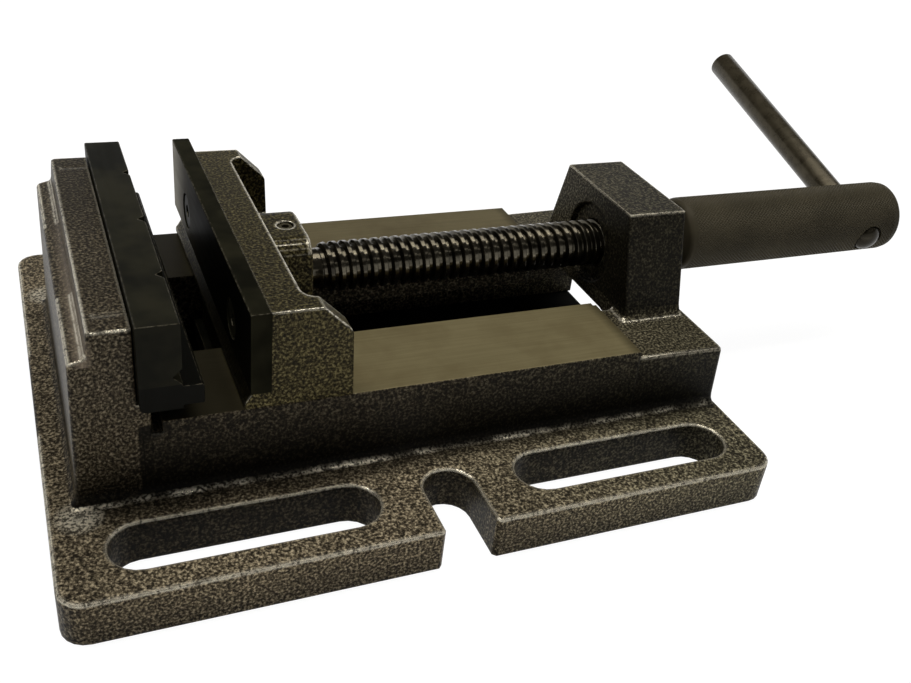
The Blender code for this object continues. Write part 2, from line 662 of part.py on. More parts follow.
def fixed_jaw_plate():
    """Thick prismatic plate: one long vee, three upright vees and a work ledge below them."""
    bottom = FIXED_PLATE_BOTTOM
    ledge_bottom = bottom + LEDGE_RAISE
    ledge_top = ledge_bottom + LEDGE_HEIGHT
    profile = [(-FIXED_PLATE_THICKNESS, bottom, PLATE_HEEL), (0, bottom, 0), (0, ledge_bottom, 0),
               (LEDGE_DEPTH, ledge_bottom, PLATE_EDGE), (LEDGE_DEPTH, ledge_top - LEDGE_CHAMFER, 0),
               (LEDGE_DEPTH - LEDGE_CHAMFER, ledge_top, 0), (0, ledge_top, 0),
               (0, VEE_HEIGHT - VEE_DEPTH, 0), (-VEE_DEPTH, VEE_HEIGHT, 0),
               (0, VEE_HEIGHT + VEE_DEPTH, 0), (0, PLATE_TOP, PLATE_EDGE),
               (-FIXED_PLATE_THICKNESS, PLATE_TOP, PLATE_EDGE)]
    plate = prism("fixed_jaw_plate", profile, "Y", -PLATE_LENGTH / 2, PLATE_LENGTH / 2, PARTS)
    for number in (-1, 0, 1):
        y = number * VEE_SPACING
        mouth = UPRIGHT_VEE_DEPTH + OVERRUN
        vee = [(-UPRIGHT_VEE_DEPTH, y, 0), (OVERRUN, y - mouth, 0), (OVERRUN, y + mouth, 0)]
        cut(plate, prism(f"upright_vee_{number + 2}", vee, "Z",
                         VEE_HEIGHT - VEE_DEPTH / 2, PLATE_TOP + OVERRUN, CUTTERS))
    height = PLATE_TOP - FIXED_SCREW_DROP
    for side, y in screw_places(FIXED_SCREW_SPREAD):
        cut(plate, sunk_hole("fixed_plate_bore_" + side, 0, y, height, -1, FIXED_PLATE_THICKNESS))
        plate_screw("fixed_plate_screw_" + side, 0, y, height, -1, PLATE_SCREW_LENGTH)
    return dress(plate, BLACK_OXIDE)


def moving_jaw_plate():
    """Thin flat plate on the sliding jaw."""
    profile = rectangle(REST_OPENING, REST_OPENING + MOVING_PLATE_THICKNESS,
                        MOVING_PLATE_BOTTOM, PLATE_TOP, PLATE_EDGE)
    plate = prism("moving_jaw_plate", profile, "Y", -PLATE_LENGTH / 2, PLATE_LENGTH / 2, PARTS)
    height = PLATE_TOP - MOVING_SCREW_DROP
    for side, y in screw_places(MOVING_SCREW_SPREAD):
        cut(plate, sunk_hole("moving_plate_bore_" + side, REST_OPENING, y, height, 1,
                             MOVING_PLATE_THICKNESS))
        plate_screw("moving_plate_screw_" + side, REST_OPENING, y, height, 1, MOVING_SCREW_LENGTH)
    return dress(plate, BLACK_OXIDE)


def jaw_side_profile():
    """The sliding jaw seen from the side: plate seat, undercut front foot and sloped ears."""
    seat = MOVING_PLATE_BOTTOM - SEAT_GAP
    shelf = MOVING_SEAT - SEAT_SHELF
    lip = REST_OPENING - SOLE_LIP
    lip_top = SOLE_BOTTOM + SOLE_LIP_HEIGHT
    ear_top = WEB_BACK + EAR_TOP_LENGTH
    return [(lip, SOLE_BOTTOM, PLATE_EDGE), (JAW_BACK, SOLE_BOTTOM, 0),
            (JAW_BACK - EAR_DRAFT, JAW_CASTING_TOP - EAR_SLOPE_DROP, EAR_ROUND),
            (ear_top, JAW_CASTING_TOP, CAST_EDGE), (MOVING_SEAT, JAW_CASTING_TOP, PLATE_EDGE),
            (MOVING_SEAT, seat, 0), (shelf, seat, PLATE_EDGE),
            (shelf - SOLE_LIP, (seat + lip_top) / 2, CAST_EDGE), (lip, lip_top, PLATE_EDGE)]


def moving_jaw():
    """Casting with a web, two ears, a sole on the ways, a spindle boss and a guide tongue."""
    half = MOVING_CASTING_WIDTH / 2
    jaw = prism("moving_jaw", jaw_side_profile(), "Y", -half, half, PARTS)
    soften(jaw, CAST_EDGE / 2)
    beyond = JAW_BACK + OVERRUN
    pocket = prism("ear_pocket_cutter",
                   [(WEB_BACK, -POCKET_HALF, POCKET_CORNER), (beyond, -POCKET_HALF, 0),
                    (beyond, POCKET_HALF, 0), (WEB_BACK, POCKET_HALF, POCKET_CORNER)],
                   "Z", SOLE_TOP, JAW_CASTING_TOP + OVERRUN, CUTTERS)
    cut(jaw, pocket)

    def boss_face(inset):
        top_half = BOSS_TOP_WIDTH / 2 - inset
        side = BOSS_HALF - inset
        floor = SOLE_TOP - SOLE_THICKNESS / 2
        return [(-side, floor, 0), (side, floor, 0), (side, AXIS_HEIGHT, BOSS_ROUND),
                (top_half, BOSS_TOP - inset, BOSS_ROUND), (-top_half, BOSS_TOP - inset, BOSS_ROUND),
                (-side, AXIS_HEIGHT, BOSS_ROUND)]
    shoulder = BOSS_END - BOSS_END_ROUND
    sections = [(WEB_BACK - WEB_THICKNESS / 2, boss_face(0))]
    sections += [(shoulder + rise, boss_face(inset)) for inset, rise in quarter_round(BOSS_END_ROUND)]
    boss = loft("spindle_boss", sections, CUTTERS, "X")
    tongue = prism("guide_tongue", rectangle(TONGUE_FRONT, TONGUE_FRONT + TONGUE_LENGTH,
                                             -TONGUE_HALF, TONGUE_HALF, CAST_EDGE),
                   "Z", WAY_UNDERSIDE, SOLE_BOTTOM + SOLE_THICKNESS / 2, CUTTERS)
    join(jaw, boss, tongue)
    clear_radius = THREAD_DIAMETER / 2 + RUNNING_GAP
    bore_length = BOSS_END - BORE_FLOOR
    beyond_boss = JAW_BACK + OVERRUN - BORE_FLOOR
    bore = turned("journal_bore", [(beyond_boss, 0), (beyond_boss, clear_radius),
                                   (bore_length, clear_radius), (bore_length, JOURNAL_BORE_RADIUS),
                                   (0, JOURNAL_BORE_RADIUS), (0, 0)],
                  Vector((BORE_FLOOR, 0, AXIS_HEIGHT)), ALONG_X, CUTTERS)
    set_hole = rod("set_screw_hole", (SET_SCREW_X, 0, AXIS_HEIGHT), (SET_SCREW_X, 0, BOSS_TOP + OVERRUN),
                   SET_SCREW_DIAMETER / 2 + SEAT_GAP, CUTTERS, segments=FASTENER_SEGMENTS)
    cut(jaw, bore, set_hole)
    for side, y in screw_places(MOVING_SCREW_SPREAD):
        cut(jaw, plate_screw_hole("moving_jaw_hole_" + side, MOVING_SEAT - OVERRUN, y,
                                  PLATE_TOP - MOVING_SCREW_DROP, 1,
                                  MOVING_SCREW_LENGTH - MOVING_PLATE_THICKNESS + OVERRUN))
    for side, y in screw_places(KEEPER_SCREW_SPREAD):
        top = keeper_screw_top() + SEAT_GAP
        cut(jaw, rod("tongue_hole_" + side, (TONGUE_CENTRE, y, WAY_UNDERSIDE - OVERRUN),
                     (TONGUE_CENTRE, y, top), KEEPER_SCREW_DIAMETER / 2 + SEAT_GAP, CUTTERS,
                     segments=FASTENER_SEGMENTS))
    return dress(jaw, PAINT)


def keeper_head_top():
    return KEEPER_BOTTOM - KEEPER_WASHER_THICKNESS - 2 * SEAT_GAP


def keeper_screw_top():
    return keeper_head_top() + KEEPER_SCREW_LENGTH


def keeper():
    """Plate that runs below the ways, with its two hexagon screws and spring washers."""
    plate = prism("keeper_plate", rectangle(TONGUE_CENTRE - KEEPER_LENGTH / 2,
                                            TONGUE_CENTRE + KEEPER_LENGTH / 2, -KEEPER_HALF, KEEPER_HALF,
                                            KEEPER_CORNER),
                  "Z", KEEPER_BOTTOM, KEEPER_TOP, PARTS)
    shank = KEEPER_SCREW_DIAMETER / 2
    hole = shank + SEAT_GAP
    for side, y in screw_places(KEEPER_SCREW_SPREAD):
        place = Vector((TONGUE_CENTRE, y, 0))
        cut(plate, rod("keeper_hole_" + side, place + UP * (KEEPER_BOTTOM - OVERRUN),
                       place + UP * (KEEPER_TOP + OVERRUN), hole, CUTTERS,
                       segments=FASTENER_SEGMENTS))
        washer_top = KEEPER_BOTTOM - SEAT_GAP
        washer_low = washer_top - KEEPER_WASHER_THICKNESS
        washer = rod("keeper_washer_" + side, place + UP * washer_low, place + UP * washer_top,
                     KEEPER_WASHER_DIAMETER / 2, PARTS, segments=FASTENER_SEGMENTS)
        cut(washer, rod("washer_hole_" + side, place + UP * (washer_low - OVERRUN),
                        place + UP * (washer_top + OVERRUN), hole, CUTTERS,
                        segments=FASTENER_SEGMENTS))
        dress(washer, ZINC)
        head_top = keeper_head_top()
        screw = rod("keeper_screw_" + side, place + UP * (head_top - KEEPER_HEAD_THICKNESS),
                    place + UP * head_top, KEEPER_HEAD_ACROSS_FLATS / math.sqrt(3), PARTS, segments=6)
        join(screw, rod("keeper_shank_" + side, place + UP * (head_top - KEEPER_HEAD_THICKNESS / 2),
                        place + UP * keeper_screw_top(), shank, CUTTERS,
                        segments=FASTENER_SEGMENTS))
        dress(screw, ZINC)
    return dress(plate, BLACK_OXIDE)


def spindle_set_screw():
    """Socket set screw in the boss; its tip runs in the spindle's groove."""
    top = BOSS_TOP - SEAT_GAP
    tip = AXIS_HEIGHT + GROOVE_DIAMETER / 2 + SEAT_GAP
    length = top - tip
    body = SET_SCREW_DIAMETER / 2
    profile = [(length, 0), (length, body - SEAT_GAP), (length - SEAT_GAP, body),
               (SET_SCREW_TIP_LENGTH, body), (SET_SCREW_TIP_LENGTH, SET_SCREW_TIP / 2),
               (0, SET_SCREW_TIP / 2), (0, 0)]
    screw = turned("spindle_set_screw", profile, Vector((SET_SCREW_X, 0, tip)), UP, PARTS,
                   FASTENER_SEGMENTS)
    socket = rod("set_screw_socket", (SET_SCREW_X, 0, top - SET_SCREW_HEX_DEPTH),
                 (SET_SCREW_X, 0, top + OVERRUN), SET_SCREW_HEX / math.sqrt(3), CUTTERS, segments=6)
    cut(screw, socket)
    return dress(screw, BLACK_OXIDE)


def thrust_pad():
    """Hard disc at the bottom of the journal's bore, which takes the clamping force."""
    start = BORE_FLOOR + SEAT_GAP
    pad = rod("thrust_pad", (start, 0, AXIS_HEIGHT), (start + THRUST_PAD_THICKNESS, 0, AXIS_HEIGHT),
              JOURNAL_BORE_RADIUS - SEAT_GAP, PARTS)
    return dress(pad, ZINC)


def spindle():
    """Turned spindle: grooved journal, thread blank and the shank inside the handle."""
    journal = JOURNAL_DIAMETER / 2
    core = THREAD_CORE_DIAMETER / 2
    thread = THREAD_DIAMETER / 2
    shank = SHANK_DIAMETER / 2
    groove = GROOVE_DIAMETER / 2
    shoulder = BOSS_END + RUNNING_GAP
    stations = [
        (SHANK_END, 0), (SHANK_END, shank), (BARREL_START - SEAT_GAP, shank),
        (BARREL_START - SEAT_GAP, thread), (THREAD_START + THREAD_CHAMFER, thread),
        (THREAD_START, core), (shoulder, core), (shoulder, journal),
        (GROOVE_HIGH, journal), (GROOVE_HIGH, groove), (GROOVE_LOW, groove), (GROOVE_LOW, journal),
        (JOURNAL_TIP + SEAT_GAP, journal), (JOURNAL_TIP, journal - SEAT_GAP), (JOURNAL_TIP, 0)]
    profile = [(x - JOURNAL_TIP, radius) for x, radius in stations]
    start = Vector((JOURNAL_TIP, 0, AXIS_HEIGHT))
    return dress(turned("spindle_screw", profile, start, ALONG_X, PARTS), SPINDLE_STEEL)


def handle_barrel():
    """Knurled barrel pressed on the spindle's shank, drilled across for the bar."""
    radius = BARREL_DIAMETER / 2
    bore = SHANK_DIAMETER / 2 + SEAT_GAP
    depth = SHANK_END - BARREL_START + SEAT_GAP
    chamfer = BARREL_CHAMFER
    profile = [(BARREL_LENGTH, 0), (BARREL_LENGTH, radius - chamfer),
               (BARREL_LENGTH - chamfer * 0.4, radius - chamfer * 0.4),
               (BARREL_LENGTH - chamfer, radius), (chamfer, radius), (0, radius - chamfer),
               (0, bore), (depth, bore), (depth, 0)]
    barrel = turned("handle_barrel", profile, Vector((BARREL_START, 0, AXIS_HEIGHT)), ALONG_X, PARTS)
    cross = rod("bar_hole", BAR_CENTRE - BAR_DIRECTION * BARREL_DIAMETER,
                BAR_CENTRE + BAR_DIRECTION * BARREL_DIAMETER, BAR_DIAMETER / 2 + SEAT_GAP, CUTTERS)
    cut(barrel, cross)
    return dress(barrel, HANDLE_STEEL)


def tommy_bar():
    """Round bar through the barrel, long on one side, with a domed stub on the other."""
    radius = BAR_DIAMETER / 2
    stub = BARREL_DIAMETER / 2 + BAR_STUB
    length = stub + BAR_LONG_REACH
    angles = [math.pi / 2 * step / ARC_STEPS for step in range(ARC_STEPS + 1)]
    nose = [(length - BAR_NOSE * (1 - math.cos(a)), radius * math.sin(a)) for a in angles]
    dome = [(BAR_STUB_DOME * (1 - math.cos(a)), radius * math.sin(a)) for a in reversed(angles)]
    start = BAR_CENTRE - BAR_DIRECTION * stub
    return dress(turned("tommy_bar", nose + dome, start, BAR_DIRECTION, PARTS), BAR_STEEL)


def hang_on(name, place, pieces):
    """Empty on a joint's axis that carries the pieces of one moving body."""
    carrier = bpy.data.objects.new(name, None)
    carrier.location = place
    PARTS.objects.link(carrier)
    bpy.context.view_layer.update()
    for piece in pieces:
        piece.parent = carrier
        piece.matrix_parent_inverse = carrier.matrix_world.inverted()
    return carrier


clear_scene()
PARTS = new_collection("drill_press_vise")
CUTTERS = new_collection("cutters")

base_casting()
fixed_jaw_plate()
moving_jaw()
moving_jaw_plate()
keeper()
spindle_set_screw()
thrust_pad()
spindle_pieces = [spindle(), handle_barrel(), tommy_bar()]

FIXED_NAMES = ("base_casting", "fixed_jaw_plate", "fixed_plate_screw_near", "fixed_plate_screw_far")
sliding_pieces = [piece for piece in PARTS.objects
                  if piece.name not in FIXED_NAMES and piece not in spindle_pieces]
spindle_axis = hang_on("spindle_axis", (JOURNAL_TIP, 0, AXIS_HEIGHT), spindle_pieces)
jaw_axis = hang_on("jaw_slide_axis", (REST_OPENING, 0, WAY_HEIGHT), sliding_pieces + [spindle_axis])
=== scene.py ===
"""Looks of the drill press vise: paint, ground steel, a cut thread, a knurl and studio light.

Places are in metres in the frame of the solids: +X runs along the spindle from the fixed jaw to
the handle, +Y away from the camera and +Z up from the underside. A node material is written with
Shader, whose values are numbers, colours (three numbers, or one for a grey) or nodes' outputs.
"""
import math
from collections import namedtuple

import bmesh
import bpy
from mathutils import Matrix, Vector


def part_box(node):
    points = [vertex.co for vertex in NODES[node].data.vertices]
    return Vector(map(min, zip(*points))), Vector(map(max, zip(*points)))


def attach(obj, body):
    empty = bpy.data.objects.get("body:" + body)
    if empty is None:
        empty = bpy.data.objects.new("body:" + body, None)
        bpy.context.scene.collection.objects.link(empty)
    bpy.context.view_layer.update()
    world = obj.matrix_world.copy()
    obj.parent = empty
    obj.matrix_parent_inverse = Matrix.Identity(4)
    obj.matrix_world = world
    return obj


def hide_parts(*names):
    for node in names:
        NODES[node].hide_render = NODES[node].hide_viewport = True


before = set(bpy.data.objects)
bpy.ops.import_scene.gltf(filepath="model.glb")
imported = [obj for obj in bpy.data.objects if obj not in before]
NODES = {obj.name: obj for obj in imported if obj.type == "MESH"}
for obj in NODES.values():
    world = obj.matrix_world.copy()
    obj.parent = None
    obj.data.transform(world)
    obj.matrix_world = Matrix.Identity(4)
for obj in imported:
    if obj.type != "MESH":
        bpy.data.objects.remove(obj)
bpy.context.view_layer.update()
MM = 0.001


def linear(red, green, blue):
    """Linear colour of a display colour given as 0 to 255."""
    def one(value):
        value /= 255
        return value / 12.92 if value <= 0.04045 else ((value + 0.055) / 1.055) ** 2.4
    return one(red), one(green), one(blue)


# Places taken from the solids
BASE_LOW, BASE_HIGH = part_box("base_casting")
SCREW_LOW, SCREW_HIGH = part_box("spindle_screw")
BARREL_LOW, BARREL_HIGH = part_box("handle_barrel")
BAR_LOW, BAR_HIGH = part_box("tommy_bar")
AXIS_Z = (SCREW_LOW.z + SCREW_HIGH.z) / 2

# Places on the castings and the fixed plate that the boxes don't give
FLANGE_TOP = 11.5 * MM
FLANGE_RIM = 76 * MM
SLOTS_OUTER = 71 * MM
BED_HALF = 45.7 * MM
BED_START = -27 * MM
CHANNEL_HALF = 30 * MM
WAY_TOP = 31.2 * MM
WAY_START = -6.5 * MM
WAY_END = 121.9 * MM
DECK_END = 149.2 * MM
BLOCK_FRONT = -9.5 * MM
BLOCK_TOP = 55.5 * MM
CASTING_TOPS = 50 * MM
BLOCK_CORNER = (-24 * MM, 50.5 * MM)
BORE_HALF = 18 * MM
BORE_TOP = 56 * MM
BRACKET_START = 126 * MM
BRACKET_FOOT = 30.2 * MM
BRACKET_TOP = 57 * MM
LEDGE_TOP = 43.3 * MM

# Paint
PAINT_DARK = linear(24, 21, 15)
PAINT_MIDDLE = linear(54, 48, 37)
PAINT_LIGHT = linear(90, 82, 65)
PAINT_FLECK = linear(140, 130, 107)
PAINT_METAL = 0.08
PAINT_SPECULAR = 0.05
PAINT_ROUNDING = 1.1 * MM
HAMMER_DEPTH = 0.22 * MM
JAW_TINT = (0.76, 0.77, 0.53)
# Painted shade on the bracket's walls
BRACKET_SHADE = 0.72
# Colour of the painted shade on the castings
PAINTED_SHADE_COLOUR = linear(8, 7, 4)
WORN_METAL = linear(250, 243, 222)
# Colour of a painted reflection streak on the block's plinth
PAINTED_STREAK_REFLECTION = linear(170, 156, 140)

# Spindle: a grooved journal, the thread with its root and crest, and the shank in the barrel
PITCH = 3.0 * MM
CREST_RADIUS = SCREW_HIGH.y
ROOT_RADIUS = 5.35 * MM
THREAD_START = 43.4 * MM
THREAD_END = 157.5 * MM
THREAD_RUN_OUT = 0.8 * PITCH
THREAD_TURNS = math.ceil((THREAD_END - THREAD_START) / PITCH) + 2
THREAD_SEGMENTS = 72
# A tooth as (share of the pitch, share of the height), the same on both flanks
TOOTH_MIDDLE = 0.62
TOOTH_FLANK = [(0.27, 0.0), (0.33, 0.35), (0.40, 0.85), (0.45, 1.0)]
TOOTH = [(0.0, 0.0), *TOOTH_FLANK,
         *[(2 * TOOTH_MIDDLE - place, rise) for place, rise in reversed(TOOTH_FLANK)]]
JOURNAL_START = SCREW_LOW.x
JOURNAL_RADIUS = 5.0 * MM
JOURNAL_CHAMFER = 0.3 * MM
JOURNAL_END = 40.05 * MM
GROOVE_START = 33.35 * MM
GROOVE_END = 36.75 * MM
GROOVE_RADIUS = 3.5 * MM
SHANK_START = 157.7 * MM
SHANK_END = SCREW_HIGH.x
SHANK_RADIUS = 6.0 * MM

# Handle: the knurled barrel, and the tommy bar through it from its near stub to its far nose
BARREL_START = BARREL_LOW.x
BARREL_END = BARREL_HIGH.x
BARREL_RADIUS = BARREL_HIGH.y
BARREL_BORE_CLEARANCE = 0.3 * MM
# Rounded ends as (distance from the end, depth below the barrel's radius)
BARREL_START_ROUNDING = [(0.0, 1.3 * MM), (0.3 * MM, 0.8 * MM), (0.9 * MM, 0.35 * MM)]
BARREL_END_ROUNDING = [(1.1 * MM, 0.28 * MM), (0.5 * MM, 0.7 * MM), (0.2 * MM, 1.2 * MM),
                       (0.0, 1.9 * MM)]
KNURL_COLUMNS = 132
KNURL_STEP = 0.62 * MM
KNURL_DEPTH = 0.2 * MM
KNURL_RUN_OUT = 0.3 * MM
KNURL_START = BARREL_START + 1.6 * MM
KNURL_ROWS = 2 * int((BARREL_END - 1.8 * MM - KNURL_START) / (2 * KNURL_STEP))
KNURL_END = KNURL_START + KNURL_ROWS * KNURL_STEP
BAR_MIDDLE = Vector(((BAR_LOW.x + BAR_HIGH.x) / 2, 0, AXIS_Z))
BAR_ANGLE = math.radians(16.3)
BAR_DIRECTION = Vector((0, math.cos(BAR_ANGLE), math.sin(BAR_ANGLE)))
BAR_RADIUS = 4.55 * MM
BAR_STUB = 12.85 * MM
BAR_REACH = 89.8 * MM
BAR_DOME = 3.2 * MM
BAR_NOSE = 0.9 * MM
BAR_ROUND_STEPS = 8
BAR_TIP_RADIUS = 0.001 * MM
DRILL_RADIUS = BAR_RADIUS + 0.35 * MM
DRILL_HALF = 20 * MM

# Meshes
WELD_DISTANCE = 1e-6
SHARP_ANGLE = math.radians(32)

# Camera, fitted to the photograph
EYE = Vector((-27.469, -234.582, 174.082)) * MM
EYE_RIGHT = Vector((0.91914735, -0.37896046, 0.10750402)).normalized()
EYE_FORWARD = Vector((0.37553364, 0.76060322, -0.52958212)).normalized()
FOCAL_PIXELS = 1019.856
PHOTO_WIDTH = 911
SENSOR_WIDTH = 36.0

# Stage
FLOOR_HALF = 3.0
FLOOR_Z = -0.4 * MM
FLOOR_GLOW = 0.97
# Painted shadow: the floor is dark below the bed
BED_SHADOW_HALF = 50 * MM
BED_SHADOW_START = BASE_LOW.x + 2.7 * MM
BED_SHADOW_END = BASE_HIGH.x - 0.6 * MM
WALL_RADIUS = 2.9
WALL_FOOT = -1 * MM
WALL_TOP = 1.0
WALL_STEPS = 64

Surface = namedtuple("Surface", "colour roughness metallic normal")
Grain = namedtuple("Grain", "flecks fine mottle")


def rgba(value):
    """Colour with alpha, from three numbers or from one grey level."""
    return (*value, 1) if isinstance(value, tuple) else (value, value, value, 1)


class Shader:
    """A material's nodes; x, y and z are where a point lies, facing_x and up how it faces."""

    def __init__(self, name):
        self.material = bpy.data.materials.new(name)
        self.material.use_nodes = True
        self.tree = self.material.node_tree
        self.principled = self.tree.nodes["Principled BSDF"]
        coordinates = self.node("TexCoord").outputs
        self.here = coordinates["Object"]
        self.x, self.y, self.z = self.node("SeparateXYZ", Vector=self.here).outputs
        self.facing_x, _, self.up = self.node("SeparateXYZ", Vector=coordinates["Normal"]).outputs

    def node(self, kind, settings=None, **inputs):
        """New node; an input's name is written with _ for a space."""
        made = self.tree.nodes.new("ShaderNode" + kind)
        for key, value in (settings or {}).items():
            setattr(made, key, value)
        for key, value in inputs.items():
            self.put(made.inputs[key.replace("_", " ")], value)
        return made

    def put(self, socket, value):
        """Links an output to an input, or sets the input's own value."""
        if isinstance(value, bpy.types.NodeSocket):
            self.tree.links.new(value, socket)
        else:
            socket.default_value = rgba(value) if socket.type == "RGBA" else value

    def join(self, kind, *values, settings=None):
        """New node whose first inputs are given in order."""
        made = self.node(kind, settings)
        for socket, value in zip(made.inputs, values):
            self.put(socket, value)
        return made

    def math(self, operation, *values, clamp=False):
        settings = {"operation": operation, "use_clamp": clamp}
        return self.join("Math", *values, settings=settings).outputs[0]

    def product(self, first, *others):
        for other in others:
            first = self.math("MULTIPLY", first, other)
        return first

    def largest(self, first, *others):
        for other in others:
            first = self.math("MAXIMUM", first, other)
        return first

    def scaled(self, value, factor, offset):
        """The value times a factor, plus an offset."""
        return self.math("MULTIPLY_ADD", value, factor, offset)

    def inverse(self, share):
        """0 where a share is 1, and 1 where it is 0."""
        return self.math("SUBTRACT", 1.0, share)

    def absolute(self, value):
        return self.math("ABSOLUTE", value)

    def beyond(self, value, limit):
        """How far the value is above a limit, or 0 below it."""
        return self.math("MAXIMUM", self.math("SUBTRACT", value, limit), 0.0)

    def length(self, across, along):
        """Length of the slope over two sides at a right angle."""
        squares = [self.math("MULTIPLY", side, side) for side in (across, along)]
        return self.math("SQRT", self.math("ADD", *squares))

    def above(self, value, limit):
        return self.math("GREATER_THAN", value, limit)

    def below(self, value, limit):
        return self.math("LESS_THAN", value, limit)

    def between(self, value, low, high):
        return self.product(self.above(value, low), self.below(value, high))

    def near(self, value, middle, half):
        """1 where the value is no further than half from the middle."""
        return self.math("COMPARE", value, middle, half)

    def band(self, value, middle, half):
        """1 at the middle, falling evenly to 0 at half from it."""
        away = self.absolute(self.math("SUBTRACT", value, middle))
        return self.math("SUBTRACT", 1.0, self.math("DIVIDE", away, half), clamp=True)

    def fade(self, value, start, end, first=0.0, last=1.0):
        """Goes evenly from first at start to last at end, and is level outside."""
        return self.join("MapRange", value, start, end, first, last).outputs["Result"]

    def ramp(self, value, *stops):
        """Colours or grey levels at several places, blended evenly between them."""
        start, end = stops[0][0], stops[-1][0]
        made = self.join("ValToRGB", self.fade(value, start, end))
        elements = made.color_ramp.elements
        while len(elements) < len(stops):
            elements.new(0.5)
        for element, (place, colour) in zip(elements, stops):
            element.position = (place - start) / (end - start)
            element.color = rgba(colour)
        return made.outputs["Color"]

    def mix(self, share, first, second, kind="MIX"):
        """Mix of two colours or normals."""
        made = self.node("Mix", {"data_type": "RGBA", "blend_type": kind})
        for index, value in {0: share, 6: first, 7: second}.items():
            self.put(made.inputs[index], value)
        return made.outputs[2]

    def tint(self, colour, factors, where=1.0):
        """A colour times three factors or one, where a share is 1."""
        return self.mix(where, colour, factors, "MULTIPLY")

    def blend(self, share, first, second):
        """Mix of two numbers."""
        made = self.node("Mix", {"data_type": "FLOAT"})
        for index, value in {0: share, 2: first, 3: second}.items():
            self.put(made.inputs[index], value)
        return made.outputs[0]

    def noise(self, scale, detail=2.0, roughness=0.5, distortion=0.0, stretch=None):
        """Noise from 0 to 1; stretch is how much finer it is along each axis."""
        place = self.here
        if stretch:
            place = self.node("Mapping", Vector=self.here, Scale=stretch).outputs[0]
        return self.node("TexNoise", Vector=place, Scale=scale, Detail=detail,
                         Roughness=roughness, Distortion=distortion).outputs["Fac"]

    def bump(self, height, distance, strength, rounded=None):
        made = self.node("Bump", Height=height, Distance=distance, Strength=strength)
        if rounded is not None:
            self.put(made.inputs["Normal"], rounded)
        return made.outputs[0]

    def rounded(self, radius):
        """Normal that turns softly over sharp edges."""
        return self.node("Bevel", {"samples": 6}, Radius=radius).outputs[0]

    def edge_mask(self, rounded):
        """More than 0 on sharp outer and inner edges, 0 on flat surfaces."""
        flat = self.node("NewGeometry").outputs["Normal"]
        dot = self.join("VectorMath", rounded, flat, settings={"operation": "DOT_PRODUCT"})
        return self.math("SUBTRACT", 1.0, dot.outputs["Value"], clamp=True)

    def upper_edges(self, rounded):
        """1 on sharp edges whose rounding faces upwards, where hands and work rub."""
        edge = self.fade(self.edge_mask(rounded), 0.004, 0.026)
        rise = self.node("SeparateXYZ", Vector=rounded).outputs["Z"]
        upper = self.ramp(rise, (0.3, 0.0), (0.45, 1.0), (0.88, 1.0), (0.97, 0.25))
        return self.product(edge, upper)

    def layered(self, share, lower, upper):
        """Two surfaces in one, the upper where share is 1."""
        return Surface(self.mix(share, lower.colour, upper.colour),
                       self.blend(share, lower.roughness, upper.roughness),
                       self.blend(share, lower.metallic, upper.metallic),
                       self.mix(share, lower.normal, upper.normal))

    def finish(self, surface, specular=0.5):
        """Feeds a surface to the material's shader; specular is the same all over."""
        values = {"Base Color": surface.colour, "Roughness": surface.roughness,
                  "Metallic": surface.metallic, "Normal": surface.normal,
                  "Specular IOR Level": specular}
        for name, value in values.items():
            self.put(self.principled.inputs[name], value)
        return self.material

    def by_ray(self, seen, lit):
        """One shader as the camera, metal and glass see it, another for diffuse light."""
        path = self.node("LightPath").outputs
        straight = self.largest(path["Is Camera Ray"], path["Is Glossy Ray"],
                                path["Is Transmission Ray"])
        mixed = self.join("MixShader", straight, lit.outputs[0], seen.outputs[0])
        self.put(self.tree.nodes["Material Output"].inputs["Surface"], mixed.outputs[0])
        self.tree.nodes.remove(self.principled)
        return self.material


def paint_grain(s):
    """Flecks and fine grain of hammered paint, and the mottle that both make."""
    flecks = s.noise(1450.0, detail=3.0, distortion=0.2)
    fine = s.noise(3500.0)
    return Grain(flecks, fine, s.scaled(fine, 0.25, s.product(flecks, 0.75)))


def paint_colour(s, grain):
    """Dark paint with light flecks, with painted light on its sides and painted shade on its upper
    tops.
    """
    colour = s.ramp(grain.mottle, (0.40, PAINT_DARK), (0.48, PAINT_MIDDLE),
                    (0.55, PAINT_LIGHT), (0.64, PAINT_FLECK))
    colour = s.tint(colour, s.fade(s.noise(26.0, detail=3.0), 0.3, 0.7, 0.82, 1.16))
    # Painted light: faces that turn sideways or down are lighter
    colour = s.tint(colour, 1.18, where=s.below(s.up, 0.5))
    # Painted shade: the upper tops of the castings are darker
    shaded_tops = s.product(s.above(s.up, 0.8), s.above(s.z, CASTING_TOPS))
    return s.tint(colour, 0.76, where=shaded_tops)


def chipped_edges(s, grain, rounded):
    """Bare metal along the upper edges, broken up by what paint is left."""
    broken = s.scaled(grain.flecks, 0.6, s.product(s.noise(520.0), 0.4))
    return s.product(s.upper_edges(rounded), s.fade(broken, 0.41, 0.49, 0.25, 1.0))


def painted(s, grain, rounded, colour, painted_shade, worn):
    """Paint under its painted shade, with bare metal where it is worn."""
    shine = s.product(s.fade(grain.mottle, 0.46, 0.6, 0.0, PAINT_METAL), s.inverse(painted_shade))
    paint = Surface(s.mix(painted_shade, colour, PAINTED_SHADE_COLOUR), s.scaled(grain.fine, 0.2, 0.3), shine,
                    s.bump(grain.mottle, HAMMER_DEPTH, 0.7, rounded))
    metal = Surface(WORN_METAL, 0.24, 0.85, s.bump(grain.mottle, HAMMER_DEPTH, 0.16, rounded))
    return s.layered(worn, paint, metal)


